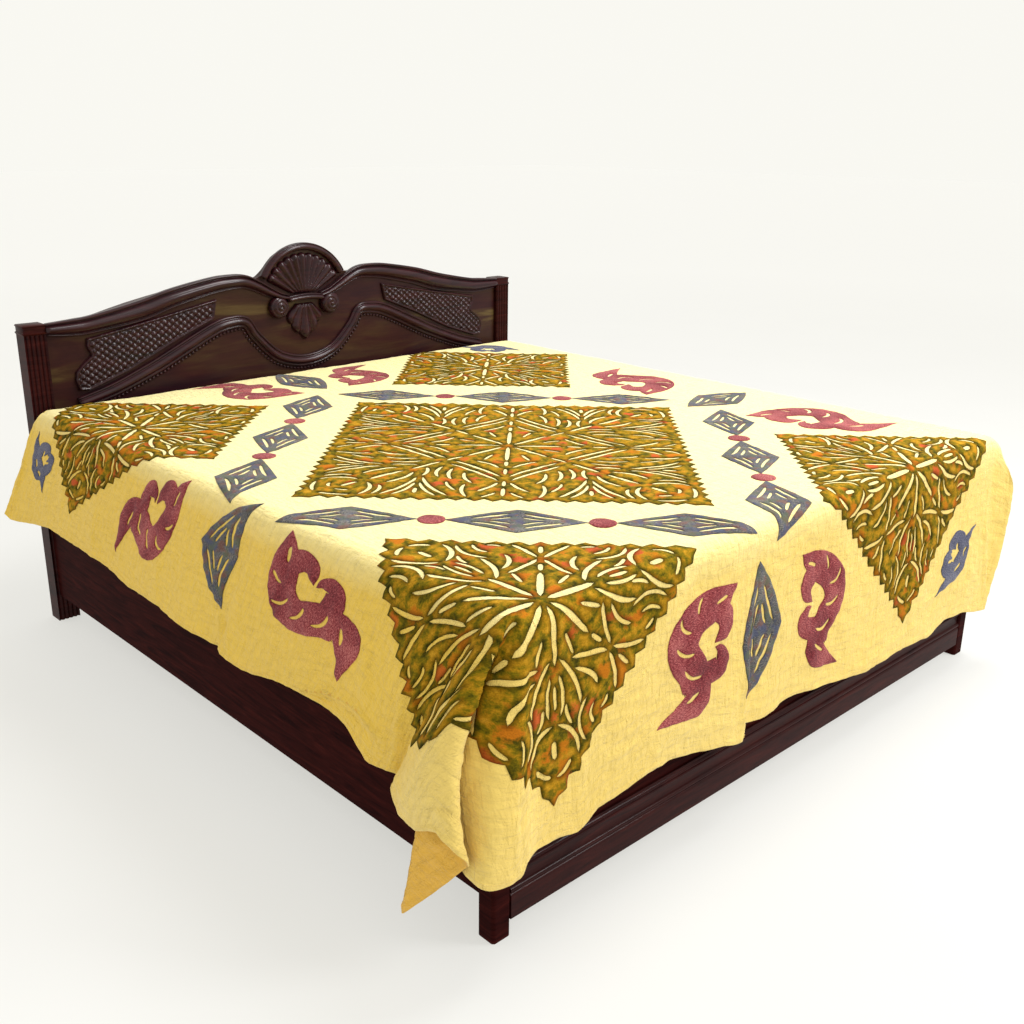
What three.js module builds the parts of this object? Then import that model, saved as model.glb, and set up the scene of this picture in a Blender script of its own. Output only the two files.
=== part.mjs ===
// Applique bedspread lying on a wooden bed with a carved headboard.
// Millimetres, +Z up, +X across the bed, +Y towards the headboard.
import * as THREE from 'three';
import { RoundedBoxGeometry } from 'three/addons/geometries/RoundedBoxGeometry.js';

// Bed frame
const BED_HALF_WIDTH = 950;
const FOOT_FRONT = -999;
const HEAD_FRONT = 999;
const LEG_SIZE = 46;
const LEG_CHAMFER = 5;
const POST_WIDTH = 65;
const POST_DEPTH = 57;
const POST_HEIGHT = 916;
const DECK_TOP = 440;
const DECK_THICKNESS = 18;
const RAIL_THICKNESS = 28;
const RAIL_INSET = 10;
const SIDE_RAIL_BOTTOM = 85;
const FOOT_RAIL_BOTTOM = 35;
const SEAT_GAP = 0.3;
// Section of the foot rail's moulding, from its foot up: a row for each corner
const FOOT_MOULDING = [
  { behindFront: 0, z: FOOT_RAIL_BOTTOM },
  { behindFront: 0, z: 92 },
  { behindFront: 5, z: 102 },
  { behindFront: 6, z: 138 },
  { behindFront: 2, z: 142 },
  { behindFront: 2, z: 150 },
  { behindFront: 6, z: 154 },
];

// Mattress
const MATTRESS_HALF_WIDTH = 936;
const MATTRESS_FOOT = -1016;
const MATTRESS_HEAD = 975;
const MATTRESS_TOP = 672.7;
const MATTRESS_ROUND = 45;
const MATTRESS_ROUND_STEPS = 3;

// Headboard, all of it fixed on the front of one panel
const PANEL_FRONT = 1012;
const PANEL_BACK = 1036;
const PANEL_BOTTOM = 110;
const CORNICE_FRONT = 992;
const MOULDING_FRONT = 997;
const LATTICE_FRONT = 1004;
const VOLUTE_FRONT = 982;
const VOLUTE_RADIUS = 30;
const VOLUTE_TAPER = 0.8;
const VOLUTE_AT = { x: 114, z: 892 };
// Straight steps that stand for each curve
const CURVE_STEPS = { panel: 30, moulding: 60, cornice: 24, volute: 24, flute: 4 };

// Flat cloth, in the bed's own x and y where it lies on top
const CLOTH = { left: -1330, right: 985, foot: -1499, head: 975 };
const CLOTH_THICKNESS = 2;
const CLOTH_TOP = 674;
// The cloth turns down outside these lines, within the turn length of its side
const RIM = { left: -897, right: 896, foot: -977, head: 955 };
const TURN = { side: 45, foot: 45, head: 10 };
const TURN_ARC = 1.62;
// A fall shorter than its turn bends within this share of its length
const SHORT_FALL = 0.98;

// Applique squares, all turned by 45 degrees about the pattern's middle
const PATTERN_MIDDLE = { x: -177, y: -207 };
const CENTRE_HALF_DIAGONAL = 668;
const CORNER_HALF_DIAGONAL = 412;
const CORNER_OFFSET = { x: 642, y: 801 };
// The near corner square is longer one way and shifted from its place
const NEAR_STRETCH = 1.08;
const NEAR_SHIFT = { x: -17, y: 17 };
const TEETH_PER_SIDE = 21;
const TOOTH_DEPTH = 20;
const APPLIQUE_THICKNESS = 1;

// Cells of the cloth's grid, a row for each band
const COLUMN_BANDS = [
  { from: CLOTH.left, to: -1120, cells: 8 },
  { from: -1120, to: -970, cells: 8 },
  { from: -970, to: RIM.left, cells: 4 },
  { from: RIM.left, to: RIM.right, cells: 27 },
  { from: RIM.right, to: CLOTH.right, cells: 4 },
];
const ROW_BANDS = [
  { from: CLOTH.foot, to: -1180, cells: 12 },
  { from: -1180, to: -1050, cells: 7 },
  { from: -1050, to: RIM.foot, cells: 4 },
  { from: RIM.foot, to: RIM.head, cells: 25 },
  { from: RIM.head, to: CLOTH.head, cells: 1 },
];

// Where the hem hangs: a row for each fold or hollow. at is the place along the flat
// edge, x y z the hem there, and swellX swellY how far the drop swells half way down.
const LEFT_HEM = [
  { at: -1499, x: -1075, y: -888, z: 78, swellX: -36, swellY: 16 },
  { at: -1400, x: -1045, y: -959, z: 157, swellX: -34, swellY: 28 },
  { at: -1328, x: -1026, y: -1008, z: 217, swellX: -30, swellY: 29 },
  { at: -1310, x: -1036, y: -1027, z: 237, swellX: -31, swellY: 23 },
  { at: -1295, x: -1048, y: -1034, z: 255, swellX: -31, swellY: 20 },
  { at: -1278, x: -1061, y: -1027, z: 271, swellX: -34, swellY: 17 },
  { at: -1258, x: -1067, y: -1009, z: 285, swellX: -38, swellY: 16 },
  { at: -1230, x: -1068, y: -983, z: 295, swellX: -43, swellY: 15 },
  { at: -1191, x: -1068, y: -944, z: 281, swellX: -46, swellY: 12 },
  { at: -1150, x: -1064, y: -905, z: 263, swellX: -44, swellY: 8 },
  { at: -1113, x: -1058, y: -868, z: 265, swellX: -36, swellY: 6 },
  { at: -1073, x: -1046, y: -829, z: 273, swellX: -26, swellY: 4 },
  { at: -1035, x: -1030, y: -799, z: 284, swellX: -16, swellY: 2 },
  { at: -1005, x: -1016, y: -797, z: 288, swellX: -12, swellY: 0 },
  { at: -970, x: -1004, y: -790, z: 292, swellX: -8, swellY: 0 },
  { at: -935, x: -1002, y: -778, z: 293, swellX: -5, swellY: 0 },
  { at: -900, x: -1006, y: -758, z: 292, swellX: -5, swellY: 0 },
  { at: -820, x: -1006, y: -697, z: 283, swellX: -5, swellY: 0 },
  { at: -740, x: -1004, y: -618, z: 331, swellX: -5, swellY: 0 },
  { at: -660, x: -1003, y: -533, z: 341, swellX: -5, swellY: 0 },
  { at: -500, x: -1003, y: -371, z: 331, swellX: -5, swellY: 0 },
  { at: -340, x: -1005, y: -211, z: 305, swellX: -5, swellY: 0 },
  { at: -262, x: -1012, y: -136, z: 317, swellX: -5, swellY: 0 },
  { at: -235, x: -1000, y: -116, z: 325, swellX: -5, swellY: 0 },
  { at: -200, x: -1001, y: -84, z: 321, swellX: -5, swellY: 0 },
  { at: -35, x: -1012, y: 98, z: 326, swellX: -5, swellY: 0 },
  { at: 40, x: -1010, y: 175, z: 335, swellX: -5, swellY: 0 },
  { at: 180, x: -1003, y: 317, z: 333, swellX: -5, swellY: 0 },
  { at: 300, x: -1003, y: 439, z: 348, swellX: -5, swellY: 0 },
  { at: 450, x: -1008, y: 590, z: 359, swellX: -5, swellY: 0 },
  { at: 690, x: -1005, y: 826, z: 362, swellX: -5, swellY: 0 },
  { at: 780, x: -1007, y: 912, z: 351, swellX: -5, swellY: 0 },
  { at: 955, x: -1028, y: 1075, z: 332, swellX: -2, swellY: 0 },
  { at: 975, x: -1040, y: 1093, z: 349, swellX: 0, swellY: 0 },
];
const FOOT_HEM = [
  { at: -1330, x: -1075, y: -888, z: 78, swellX: -36, swellY: 16 },
  { at: -1250, x: -1058, y: -882, z: 136, swellX: -30, swellY: 14 },
  { at: -1200, x: -1034, y: -870, z: 169, swellX: -22, swellY: 6 },
  { at: -1150, x: -1012, y: -910, z: 195, swellX: -30, swellY: 12 },
  { at: -1100, x: -1008, y: -962, z: 198, swellX: -36, swellY: 16 },
  { at: -1060, x: -1016, y: -999, z: 193, swellX: -23, swellY: 12 },
  { at: -1025, x: -1020, y: -1034, z: 187, swellX: -12, swellY: 6 },
  { at: -1000, x: -1008, y: -1053, z: 182, swellX: -5, swellY: 2 },
  { at: -978, x: -985, y: -1058, z: 178, swellX: -2, swellY: -4 },
  { at: -955, x: -962, y: -1060, z: 177, swellX: 0, swellY: -8 },
  { at: -930, x: -941, y: -1057, z: 178, swellX: 0, swellY: -7 },
  { at: -900, x: -915, y: -1050, z: 199, swellX: 0, swellY: -6 },
  { at: -850, x: -860, y: -1026, z: 188, swellX: 0, swellY: -3 },
  { at: -790, x: -794, y: -1027, z: 184, swellX: 0, swellY: -2 },
  { at: -755, x: -757, y: -1028, z: 179, swellX: 0, swellY: -2 },
  { at: -700, x: -700, y: -1030, z: 207, swellX: 0, swellY: -2 },
  { at: -640, x: -640, y: -1032, z: 212, swellX: 0, swellY: -2 },
  { at: -575, x: -575, y: -1034, z: 228, swellX: 0, swellY: -2 },
  { at: -510, x: -510, y: -1036, z: 230, swellX: 0, swellY: -2 },
  { at: -440, x: -440, y: -1038, z: 221, swellX: 0, swellY: -2 },
  { at: -320, x: -320, y: -1041, z: 197, swellX: 0, swellY: -2 },
  { at: -238, x: -240, y: -1044, z: 178, swellX: 0, swellY: -2 },
  { at: -200, x: -216, y: -1026, z: 209, swellX: 0, swellY: -1 },
  { at: -150, x: -152, y: -1028, z: 198, swellX: 0, swellY: -2 },
  { at: -60, x: -56, y: -1031, z: 215, swellX: 0, swellY: -2 },
  { at: 60, x: 60, y: -1034, z: 202, swellX: 0, swellY: -2 },
  { at: 220, x: 219, y: -1036, z: 180, swellX: 0, swellY: -2 },
  { at: 300, x: 300, y: -1036, z: 168, swellX: 0, swellY: -2 },
  { at: 538, x: 538, y: -1037, z: 170, swellX: 0, swellY: -2 },
  { at: 630, x: 628, y: -1032, z: 161, swellX: 0, swellY: -2 },
  { at: 730, x: 728, y: -1034, z: 179, swellX: 0, swellY: -2 },
  { at: 800, x: 797, y: -1038, z: 179, swellX: 0, swellY: -2 },
  { at: 930, x: 924, y: -1035, z: 149, swellX: 0, swellY: -1 },
  { at: 985, x: 977, y: -1034, z: 142, swellX: 0, swellY: 0 },
];
const RIGHT_HEM = [
  { at: -1499, x: 977, y: -1034, z: 142, swellX: 0, swellY: 0 },
  { at: -1250, x: 1000, y: -1052, z: 390, swellX: 0, swellY: 0 },
  { at: -1130, x: 1000, y: -1054, z: 500, swellX: 0, swellY: 0 },
  { at: -1060, x: 986, y: -1044, z: 556, swellX: 0, swellY: 0 },
  { at: -1000, x: 964, y: -1012, z: 596, swellX: 0, swellY: 0 },
  { at: -900, x: 951, y: -905, z: 606, swellX: 0, swellY: 0 },
  { at: 955, x: 951, y: 955, z: 600, swellX: 0, swellY: 0 },
  { at: 975, x: 951, y: 974, z: 604, swellX: 0, swellY: 0 },
];
const HEAD_HEM = [
  { at: -1330, x: -1040, y: 1093, z: 349, swellX: 0, swellY: 0 },
  { at: -1200, x: -1004, y: 1058, z: 450, swellX: 0, swellY: 0 },
  { at: -1080, x: -978, y: 1019, z: 558, swellX: 0, swellY: 0 },
  { at: -1000, x: -960, y: 995, z: 622, swellX: 0, swellY: 0 },
  { at: -940, x: -934, y: 975, z: 660, swellX: 0, swellY: 0 },
  { at: -897, x: -897, y: 968, z: 663, swellX: 0, swellY: 0 },
  { at: 896, x: 896, y: 968, z: 663, swellX: 0, swellY: 0 },
  { at: 985, x: 951, y: 974, z: 604, swellX: 0, swellY: 0 },
];

// Right half of the headboard: a row for each point that a curve passes through
const PANEL_TOP = [
  { x: 884.5, z: 900 },
  { x: 800, z: 910 },
  { x: 590, z: 958 },
  { x: 300, z: 1002 },
  { x: 180, z: 992 },
  { x: 150, z: 1010 },
  { x: 95, z: 1062 },
  { x: 0, z: 1090 },
];
const CORNICE = [
  { x: 881, z: 897, width: 34 },
  { x: 800, z: 903, width: 36 },
  { x: 590, z: 950, width: 38 },
  { x: 300, z: 992, width: 40 },
  { x: 195, z: 979, width: 34 },
  { x: 136, z: 945, width: 26 },
];
const LOWER_MOULDING = [
  { x: 800, z: 664, width: 26 },
  { x: 690, z: 688, width: 30 },
  { x: 490, z: 762, width: 32 },
  { x: 320, z: 840, width: 32 },
  { x: 215, z: 853, width: 28 },
  { x: 176, z: 790, width: 28 },
  { x: 105, z: 722, width: 30 },
  { x: 0, z: 698, width: 30 },
];
const LATTICE_OUTLINE = [
  { x: 328, z: 938 },
  { x: 560, z: 905 },
  { x: 772, z: 858 },
  { x: 782, z: 800 },
  { x: 812, z: 752 },
  { x: 800, z: 706 },
  { x: 640, z: 748 },
  { x: 470, z: 822 },
  { x: 330, z: 872 },
];
// Fans of flutes: spread in degrees to each side, and the share by which the outer edge falls at the sides
const SHELL = {
  z: 905, inner: 14, crest: 195, spread: 56, flutes: 11, direction: 1, depth: 26, fall: 0.05, fallPower: 2,
};
const PENDANT = {
  z: 897, inner: 10, crest: 121, spread: 48, flutes: 5, direction: -1, depth: 20, fall: 0.34, fallPower: 1,
};
const FLUTE_GROOVE = 0.28;

const WOOD = new THREE.MeshStandardMaterial({ color: 0x2d1413, roughness: 0.32, metalness: 0 });
const COTTON = new THREE.MeshStandardMaterial({ color: 0xe6c464, roughness: 0.9, metalness: 0 });
const PRINT = new THREE.MeshStandardMaterial({ color: 0x6e571c, roughness: 0.92, metalness: 0 });
const TICKING = new THREE.MeshStandardMaterial({ color: 0xd8d2c4, roughness: 0.9, metalness: 0 });

const bed = new THREE.Group();

function add(name, geometry, material) {
  const mesh = new THREE.Mesh(geometry, material);
  mesh.name = name;
  bed.add(mesh);
}

function clamp(value, low, high) {
  return Math.min(Math.max(value, low), high);
}

// Upright prism over an outline given in x and y
function upright(outline, bottom, top) {
  const shape = new THREE.Shape(outline.map(([x, y]) => new THREE.Vector2(x, y)));
  const geometry = new THREE.ExtrudeGeometry(shape, { depth: top - bottom, bevelEnabled: false });
  return geometry.translate(0, 0, bottom);
}

// Plate over an outline given in x and z, from its front face back towards the wall
function plate(outline, front, back) {
  const shape = new THREE.Shape(outline.map(({ x, z }) => new THREE.Vector2(x, z)));
  const geometry = new THREE.ExtrudeGeometry(shape, { depth: back - front, bevelEnabled: false });
  return geometry.rotateX(Math.PI / 2).translate(0, back, 0);
}

function block(x0, x1, y0, y1, z0, z1) {
  const geometry = new THREE.BoxGeometry(x1 - x0, y1 - y0, z1 - z0);
  return geometry.translate((x0 + x1) / 2, (y0 + y1) / 2, (z0 + z1) / 2);
}

function mirrored(rows) {
  return rows.map((row) => ({ ...row, x: -row.x }));
}

// Smooth line through a table's rows, as points with x, z and width
function smooth(rows, samples) {
  const path = new THREE.CatmullRomCurve3(rows.map(({ x, z }) => new THREE.Vector3(x, 0, z)));
  const widths = new THREE.CatmullRomCurve3(rows.map(({ width = 0 }, i) => new THREE.Vector3(i, 0, width)));
  return Array.from({ length: samples + 1 }, (_, i) => {
    const at = i / samples;
    const point = path.getPoint(at);
    const tangent = path.getTangent(at);
    return { x: point.x, z: point.z, width: widths.getPoint(at).z, tangent };
  });
}

// Outline of a band of changing width along a smooth line
function bandOutline(rows, samples) {
  const line = smooth(rows, samples);
  const side = (sign) => line.map(({ x, z, width, tangent }) => ({
    x: x - (sign * tangent.z * width) / 2,
    z: z + (sign * tangent.x * width) / 2,
  }));
  return [...side(1), ...side(-1).reverse()];
}

// Fan of rounded flutes that rises from the panel, pointing up or down
function fanRelief({ z, inner, crest, spread, flutes, direction, depth, fall, fallPower }) {
  const across = flutes * CURVE_STEPS.flute;
  const rings = [
    { reach: 0, rise: 0.45 },
    { reach: 0.5, rise: 0.8 },
    { reach: 0.88, rise: 1 },
    { reach: 1, rise: 0.5 },
  ];
  const back = PANEL_FRONT - SEAT_GAP;
  const positions = [];
  const index = [];
  const layers = [true, false];
  for (const isFront of layers) {
    for (let i = 0; i <= across; i += 1) {
      const share = (2 * i) / across - 1;
      const angle = THREE.MathUtils.degToRad(spread * share);
      const ridge = Math.abs(Math.sin((Math.PI * flutes * (share + 1)) / 2));
      const flute = 1 - FLUTE_GROOVE * (1 - ridge);
      const outer = crest * (1 - fall * Math.abs(share) ** fallPower);
      for (const { reach, rise } of rings) {
        const radius = inner + (outer - inner) * reach;
        const y = isFront ? back - depth * rise * flute : back;
        positions.push(radius * Math.sin(angle), y, z + direction * radius * Math.cos(angle));
      }
    }
  }
  const layerSize = (across + 1) * rings.length;
  const vertex = (isFront, i, j) => (isFront ? 0 : layerSize) + i * rings.length + j;
  const quad = (a, b, c, d, flip) => index.push(...(flip ? [a, c, b, a, d, c] : [a, b, c, a, c, d]));
  const turned = direction < 0;
  const wall = (i0, j0, i1, j1) => quad(
    vertex(true, i0, j0),
    vertex(false, i0, j0),
    vertex(false, i1, j1),
    vertex(true, i1, j1),
    turned,
  );
  const last = rings.length - 1;
  for (let i = 0; i < across; i += 1) {
    for (let j = 0; j < last; j += 1) {
      for (const isFront of layers) {
        const corners = [vertex(isFront, i, j), vertex(isFront, i + 1, j), vertex(isFront, i + 1, j + 1)];
        quad(...corners, vertex(isFront, i, j + 1), isFront === turned);
      }
    }
    wall(i, 0, i + 1, 0);
    wall(i + 1, last, i, last);
  }
  for (let j = 0; j < last; j += 1) {
    wall(0, j + 1, 0, j);
    wall(across, j, across, j + 1);
  }
  const geometry = new THREE.BufferGeometry();
  geometry.setAttribute('position', new THREE.Float32BufferAttribute(positions, 3));
  geometry.setIndex(index);
  return geometry;
}

// Row of a hem table at any place, on a smooth curve that swings no further than its rows
function hemAt(table, at) {
  let i = 0;
  while (i < table.length - 2 && table[i + 1].at < at) {
    i += 1;
  }
  const slope = (k, key) => {
    const step = (m) => (table[m + 1][key] - table[m][key]) / (table[m + 1].at - table[m].at);
    if (k === 0) return step(0);
    if (k === table.length - 1) return step(k - 1);
    if (step(k - 1) * step(k) <= 0) return 0;
    const before = table[k].at - table[k - 1].at;
    const after = table[k + 1].at - table[k].at;
    const shares = (2 * after + before) / step(k - 1) + (after + 2 * before) / step(k);
    return (3 * (before + after)) / shares;
  };
  const length = table[i + 1].at - table[i].at;
  const u = (at - table[i].at) / length;
  const blend = (key) => table[i][key] * (2 * u ** 3 - 3 * u ** 2 + 1)
    + slope(i, key) * length * (u ** 3 - 2 * u ** 2 + u)
    + table[i + 1][key] * (3 * u ** 2 - 2 * u ** 3)
    + slope(i + 1, key) * length * (u ** 3 - u ** 2);
  return {
    hem: new THREE.Vector3(blend('x'), blend('y'), blend('z')),
    swell: new THREE.Vector3(blend('swellX'), blend('swellY'), 0),
  };
}

// Place of a point of the flat cloth once it is draped: it lies flat inside the rim,
// and outside it runs out over the mattress edge and straight down to the hem.
function drape(x, y) {
  const rim = new THREE.Vector3(clamp(x, RIM.left, RIM.right), clamp(y, RIM.foot, RIM.head), CLOTH_TOP);
  const dx = x - rim.x;
  const dy = y - rim.y;
  const past = Math.hypot(dx, dy);
  if (past < 1e-9) return rim;
  const toSide = dx === 0 ? Infinity : ((dx < 0 ? CLOTH.left : CLOTH.right) - rim.x) / dx;
  const toEnd = dy === 0 ? Infinity : ((dy < 0 ? CLOTH.foot : CLOTH.head) - rim.y) / dy;
  const reach = Math.min(toSide, toEnd);
  const onSide = toSide <= toEnd;
  const sideTable = dx < 0 ? LEFT_HEM : RIGHT_HEM;
  const endTable = dy < 0 ? FOOT_HEM : HEAD_HEM;
  const { hem, swell } = onSide ? hemAt(sideTable, rim.y + dy * reach) : hemAt(endTable, rim.x + dx * reach);
  const turn = Math.hypot((TURN.side * dx) / past, ((dy < 0 ? TURN.foot : TURN.head) * dy) / past);
  const edge = rim.clone().add(new THREE.Vector3((dx / past) * turn, (dy / past) * turn, 0));
  const fall = hem.clone().sub(edge);
  const bendLength = Math.min(turn, fall.length() * SHORT_FALL);
  const bend = edge.clone().addScaledVector(fall.clone().normalize(), bendLength);
  const arc = TURN_ARC * turn;
  const drop = hem.distanceTo(bend);
  const run = (arc + drop) / reach;
  if (run < arc) {
    const u = run / arc;
    const start = rim.clone().multiplyScalar((1 - u) ** 2);
    return start.addScaledVector(edge, 2 * u * (1 - u)).addScaledVector(bend, u * u);
  }
  const down = clamp((run - arc) / drop, 0, 1);
  return bend.clone().lerp(hem, down).addScaledVector(swell, 4 * down * (1 - down));
}

function gridLines(bands) {
  const lines = bands.flatMap(({ from, to, cells }) => Array.from(
    { length: cells },
    (_, i) => from + ((to - from) * i) / cells,
  ));
  return [...lines, bands[bands.length - 1].to];
}

const columns = gridLines(COLUMN_BANDS);
const rows = gridLines(ROW_BANDS);
const drapedGrid = columns.map((x) => rows.map((y) => drape(x, y)));

// Outward direction at each crossing of the grid, from the lines that meet there
const crossing = (i, j) => drapedGrid[clamp(i, 0, columns.length - 1)][clamp(j, 0, rows.length - 1)];
const drapedNormals = columns.map((_, i) => rows.map((__, j) => {
  const along = crossing(i + 1, j).clone().sub(crossing(i - 1, j));
  const across = crossing(i, j + 1).clone().sub(crossing(i, j - 1));
  return along.cross(across).normalize();
}));

// Closed sheet over the grid cells that are kept, between two heights above the drape
function sheetSolid(keeps, low, high) {
  const positions = [];
  const index = [];
  const numbers = new Map();
  const kept = (i, j) => i >= 0 && j >= 0 && i < columns.length - 1 && j < rows.length - 1
    && keeps((columns[i] + columns[i + 1]) / 2, (rows[j] + rows[j + 1]) / 2);
  const vertex = (i, j, height) => {
    const key = `${i},${j},${height}`;
    if (!numbers.has(key)) {
      const point = drapedGrid[i][j].clone().addScaledVector(drapedNormals[i][j], height);
      numbers.set(key, positions.length / 3);
      positions.push(point.x, point.y, point.z);
    }
    return numbers.get(key);
  };
  const quad = (a, b, c, d) => index.push(a, b, c, a, c, d);
  const wall = (i0, j0, i1, j1) => quad(
    vertex(i0, j0, low),
    vertex(i1, j1, low),
    vertex(i1, j1, high),
    vertex(i0, j0, high),
  );
  for (let i = 0; i < columns.length - 1; i += 1) {
    for (let j = 0; j < rows.length - 1; j += 1) {
      if (!kept(i, j)) continue;
      const corners = [[i, j], [i + 1, j], [i + 1, j + 1], [i, j + 1]];
      const ring = (height) => corners.map(([column, row]) => vertex(column, row, height));
      const [a, b, c, d] = ring(low);
      quad(...ring(high));
      index.push(a, c, b, a, d, c);
      if (!kept(i, j - 1)) wall(i, j, i + 1, j);
      if (!kept(i + 1, j)) wall(i + 1, j, i + 1, j + 1);
      if (!kept(i, j + 1)) wall(i + 1, j + 1, i, j + 1);
      if (!kept(i - 1, j)) wall(i, j + 1, i, j);
    }
  }
  const geometry = new THREE.BufferGeometry();
  geometry.setAttribute('position', new THREE.Float32BufferAttribute(positions, 3));
  geometry.setIndex(index);
  return geometry;
}

// Legs and posts
function leg(side) {
  const inner = BED_HALF_WIDTH - LEG_SIZE;
  const c = LEG_CHAMFER;
  const back = FOOT_FRONT + LEG_SIZE;
  const outline = [
    [inner + c, FOOT_FRONT], [BED_HALF_WIDTH - c, FOOT_FRONT], [BED_HALF_WIDTH, FOOT_FRONT + c],
    [BED_HALF_WIDTH, back - c], [BED_HALF_WIDTH - c, back], [inner + c, back],
    [inner, back - c], [inner, FOOT_FRONT + c],
  ];
  return upright(outline.map(([x, y]) => [side * x, y]), 0, DECK_TOP);
}
const sides = [{ label: 'left', sign: -1 }, { label: 'right', sign: 1 }];
const postInner = BED_HALF_WIDTH - POST_WIDTH;
const postBack = HEAD_FRONT + POST_DEPTH;
for (const { label, sign } of sides) {
  add(`foot_leg_${label}`, leg(sign), WOOD);
  const [inside, outside] = [sign * postInner, sign * BED_HALF_WIDTH].sort((a, b) => a - b);
  add(`head_post_${label}`, block(inside, outside, HEAD_FRONT, postBack, 0, POST_HEIGHT), WOOD);
}

// Rails and deck
const legBack = FOOT_FRONT + LEG_SIZE;
const railOuter = BED_HALF_WIDTH - RAIL_INSET;
const railInner = railOuter - RAIL_THICKNESS;
const railEnds = [legBack + SEAT_GAP, HEAD_FRONT - SEAT_GAP];
add('side_rail_left', block(-railOuter, -railInner, ...railEnds, SIDE_RAIL_BOTTOM, DECK_TOP), WOOD);
add('side_rail_right', block(railInner, railOuter, ...railEnds, SIDE_RAIL_BOTTOM, DECK_TOP), WOOD);
const footRailHalf = BED_HALF_WIDTH - LEG_SIZE - SEAT_GAP;
const footRailFront = FOOT_FRONT + RAIL_INSET;
const footRailBack = footRailFront + RAIL_THICKNESS;
const footRail = block(-footRailHalf, footRailHalf, footRailFront, footRailBack, FOOT_RAIL_BOTTOM, DECK_TOP);
add('foot_rail', footRail, WOOD);
const deckHalf = railInner - SEAT_GAP;
const deckFoot = legBack + SEAT_GAP;
add('deck', block(-deckHalf, deckHalf, deckFoot, railEnds[1], DECK_TOP - DECK_THICKNESS, DECK_TOP), WOOD);

// Moulding along the foot rail: a broad band, a cove and a bead above it
const footMouldingBack = footRailFront - SEAT_GAP;
const footMouldingProfile = [
  new THREE.Vector2(footMouldingBack, FOOT_MOULDING.at(0).z),
  ...FOOT_MOULDING.map(({ behindFront, z }) => new THREE.Vector2(FOOT_FRONT + behindFront, z)),
  new THREE.Vector2(footMouldingBack, FOOT_MOULDING.at(-1).z),
];
const footMoulding = new THREE.ExtrudeGeometry(
  new THREE.Shape(footMouldingProfile),
  { depth: 2 * footRailHalf, bevelEnabled: false },
);
const profileToBed = new THREE.Matrix4().makeBasis(
  new THREE.Vector3(0, 1, 0),
  new THREE.Vector3(0, 0, 1),
  new THREE.Vector3(1, 0, 0),
);
add('foot_moulding', footMoulding.applyMatrix4(profileToBed).translate(-footRailHalf, 0, 0), WOOD);

// Mattress
const mattressLength = MATTRESS_HEAD - MATTRESS_FOOT;
const mattressBottom = DECK_TOP + SEAT_GAP;
const mattressHeight = MATTRESS_TOP - mattressBottom;
const mattress = new RoundedBoxGeometry(
  2 * MATTRESS_HALF_WIDTH,
  mattressLength,
  mattressHeight,
  MATTRESS_ROUND_STEPS,
  MATTRESS_ROUND,
);
const mattressMiddle = (MATTRESS_HEAD + MATTRESS_FOOT) / 2;
add('mattress', mattress.translate(0, mattressMiddle, mattressBottom + mattressHeight / 2), TICKING);

// Headboard
const panelCurve = smooth(PANEL_TOP, CURVE_STEPS.panel);
const panelOutline = [
  { x: -panelCurve[0].x, z: PANEL_BOTTOM },
  { x: panelCurve[0].x, z: PANEL_BOTTOM },
  ...panelCurve,
  ...mirrored(panelCurve).reverse().slice(1),
];
add('headboard_panel', plate(panelOutline, PANEL_FRONT, PANEL_BACK), WOOD);
const reliefBack = PANEL_FRONT - SEAT_GAP;
const mouldingLine = [...LOWER_MOULDING, ...mirrored(LOWER_MOULDING).reverse().slice(1)];
const mouldingOutline = bandOutline(mouldingLine, CURVE_STEPS.moulding);
add('lower_moulding', plate(mouldingOutline, MOULDING_FRONT, reliefBack), WOOD);
const voluteTip = VOLUTE_TAPER * VOLUTE_RADIUS;
const voluteDepth = reliefBack - VOLUTE_FRONT;
for (const { label, sign } of sides) {
  const turned = (table) => (sign > 0 ? table : mirrored(table));
  const corniceOutline = bandOutline(turned(CORNICE), CURVE_STEPS.cornice);
  add(`cornice_${label}`, plate(corniceOutline, CORNICE_FRONT, reliefBack), WOOD);
  add(`lattice_panel_${label}`, plate(turned(LATTICE_OUTLINE), LATTICE_FRONT, reliefBack), WOOD);
  const volute = new THREE.CylinderGeometry(voluteTip, VOLUTE_RADIUS, voluteDepth, CURVE_STEPS.volute);
  volute.rotateX(Math.PI).translate(sign * VOLUTE_AT.x, (VOLUTE_FRONT + reliefBack) / 2, VOLUTE_AT.z);
  add(`volute_${label}`, volute, WOOD);
}
add('shell_crest', fanRelief(SHELL), WOOD);
add('shell_pendant', fanRelief(PENDANT), WOOD);

// Bedspread
const half = CLOTH_THICKNESS / 2;
add('bedspread', sheetSolid(() => true, -half, half), COTTON);

// Applique squares: the middle one has cut teeth, the corner ones follow the folds
const appliqueLow = half + SEAT_GAP;
const appliqueHigh = appliqueLow + APPLIQUE_THICKNESS;
function toothedSquare(halfDiagonal) {
  const corners = [[0, 1], [1, 0], [0, -1], [-1, 0]];
  const outline = corners.flatMap(([x0, y0], k) => {
    const [x1, y1] = corners[(k + 1) % corners.length];
    return Array.from({ length: 2 * TEETH_PER_SIDE }, (_, i) => {
      const along = i / (2 * TEETH_PER_SIDE);
      const inset = i % 2 === 1 ? 1 - TOOTH_DEPTH / (halfDiagonal * Math.SQRT1_2) : 1;
      const reach = halfDiagonal * inset;
      return [reach * (x0 + (x1 - x0) * along), reach * (y0 + (y1 - y0) * along)];
    });
  });
  return outline.map(([x, y]) => [PATTERN_MIDDLE.x + x, PATTERN_MIDDLE.y + y]);
}
const centreSquare = toothedSquare(CENTRE_HALF_DIAGONAL);
add('applique_centre', upright(centreSquare, CLOTH_TOP + appliqueLow, CLOTH_TOP + appliqueHigh), PRINT);
const ends = [{ label: 'foot', sign: -1 }, { label: 'head', sign: 1 }];
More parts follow.
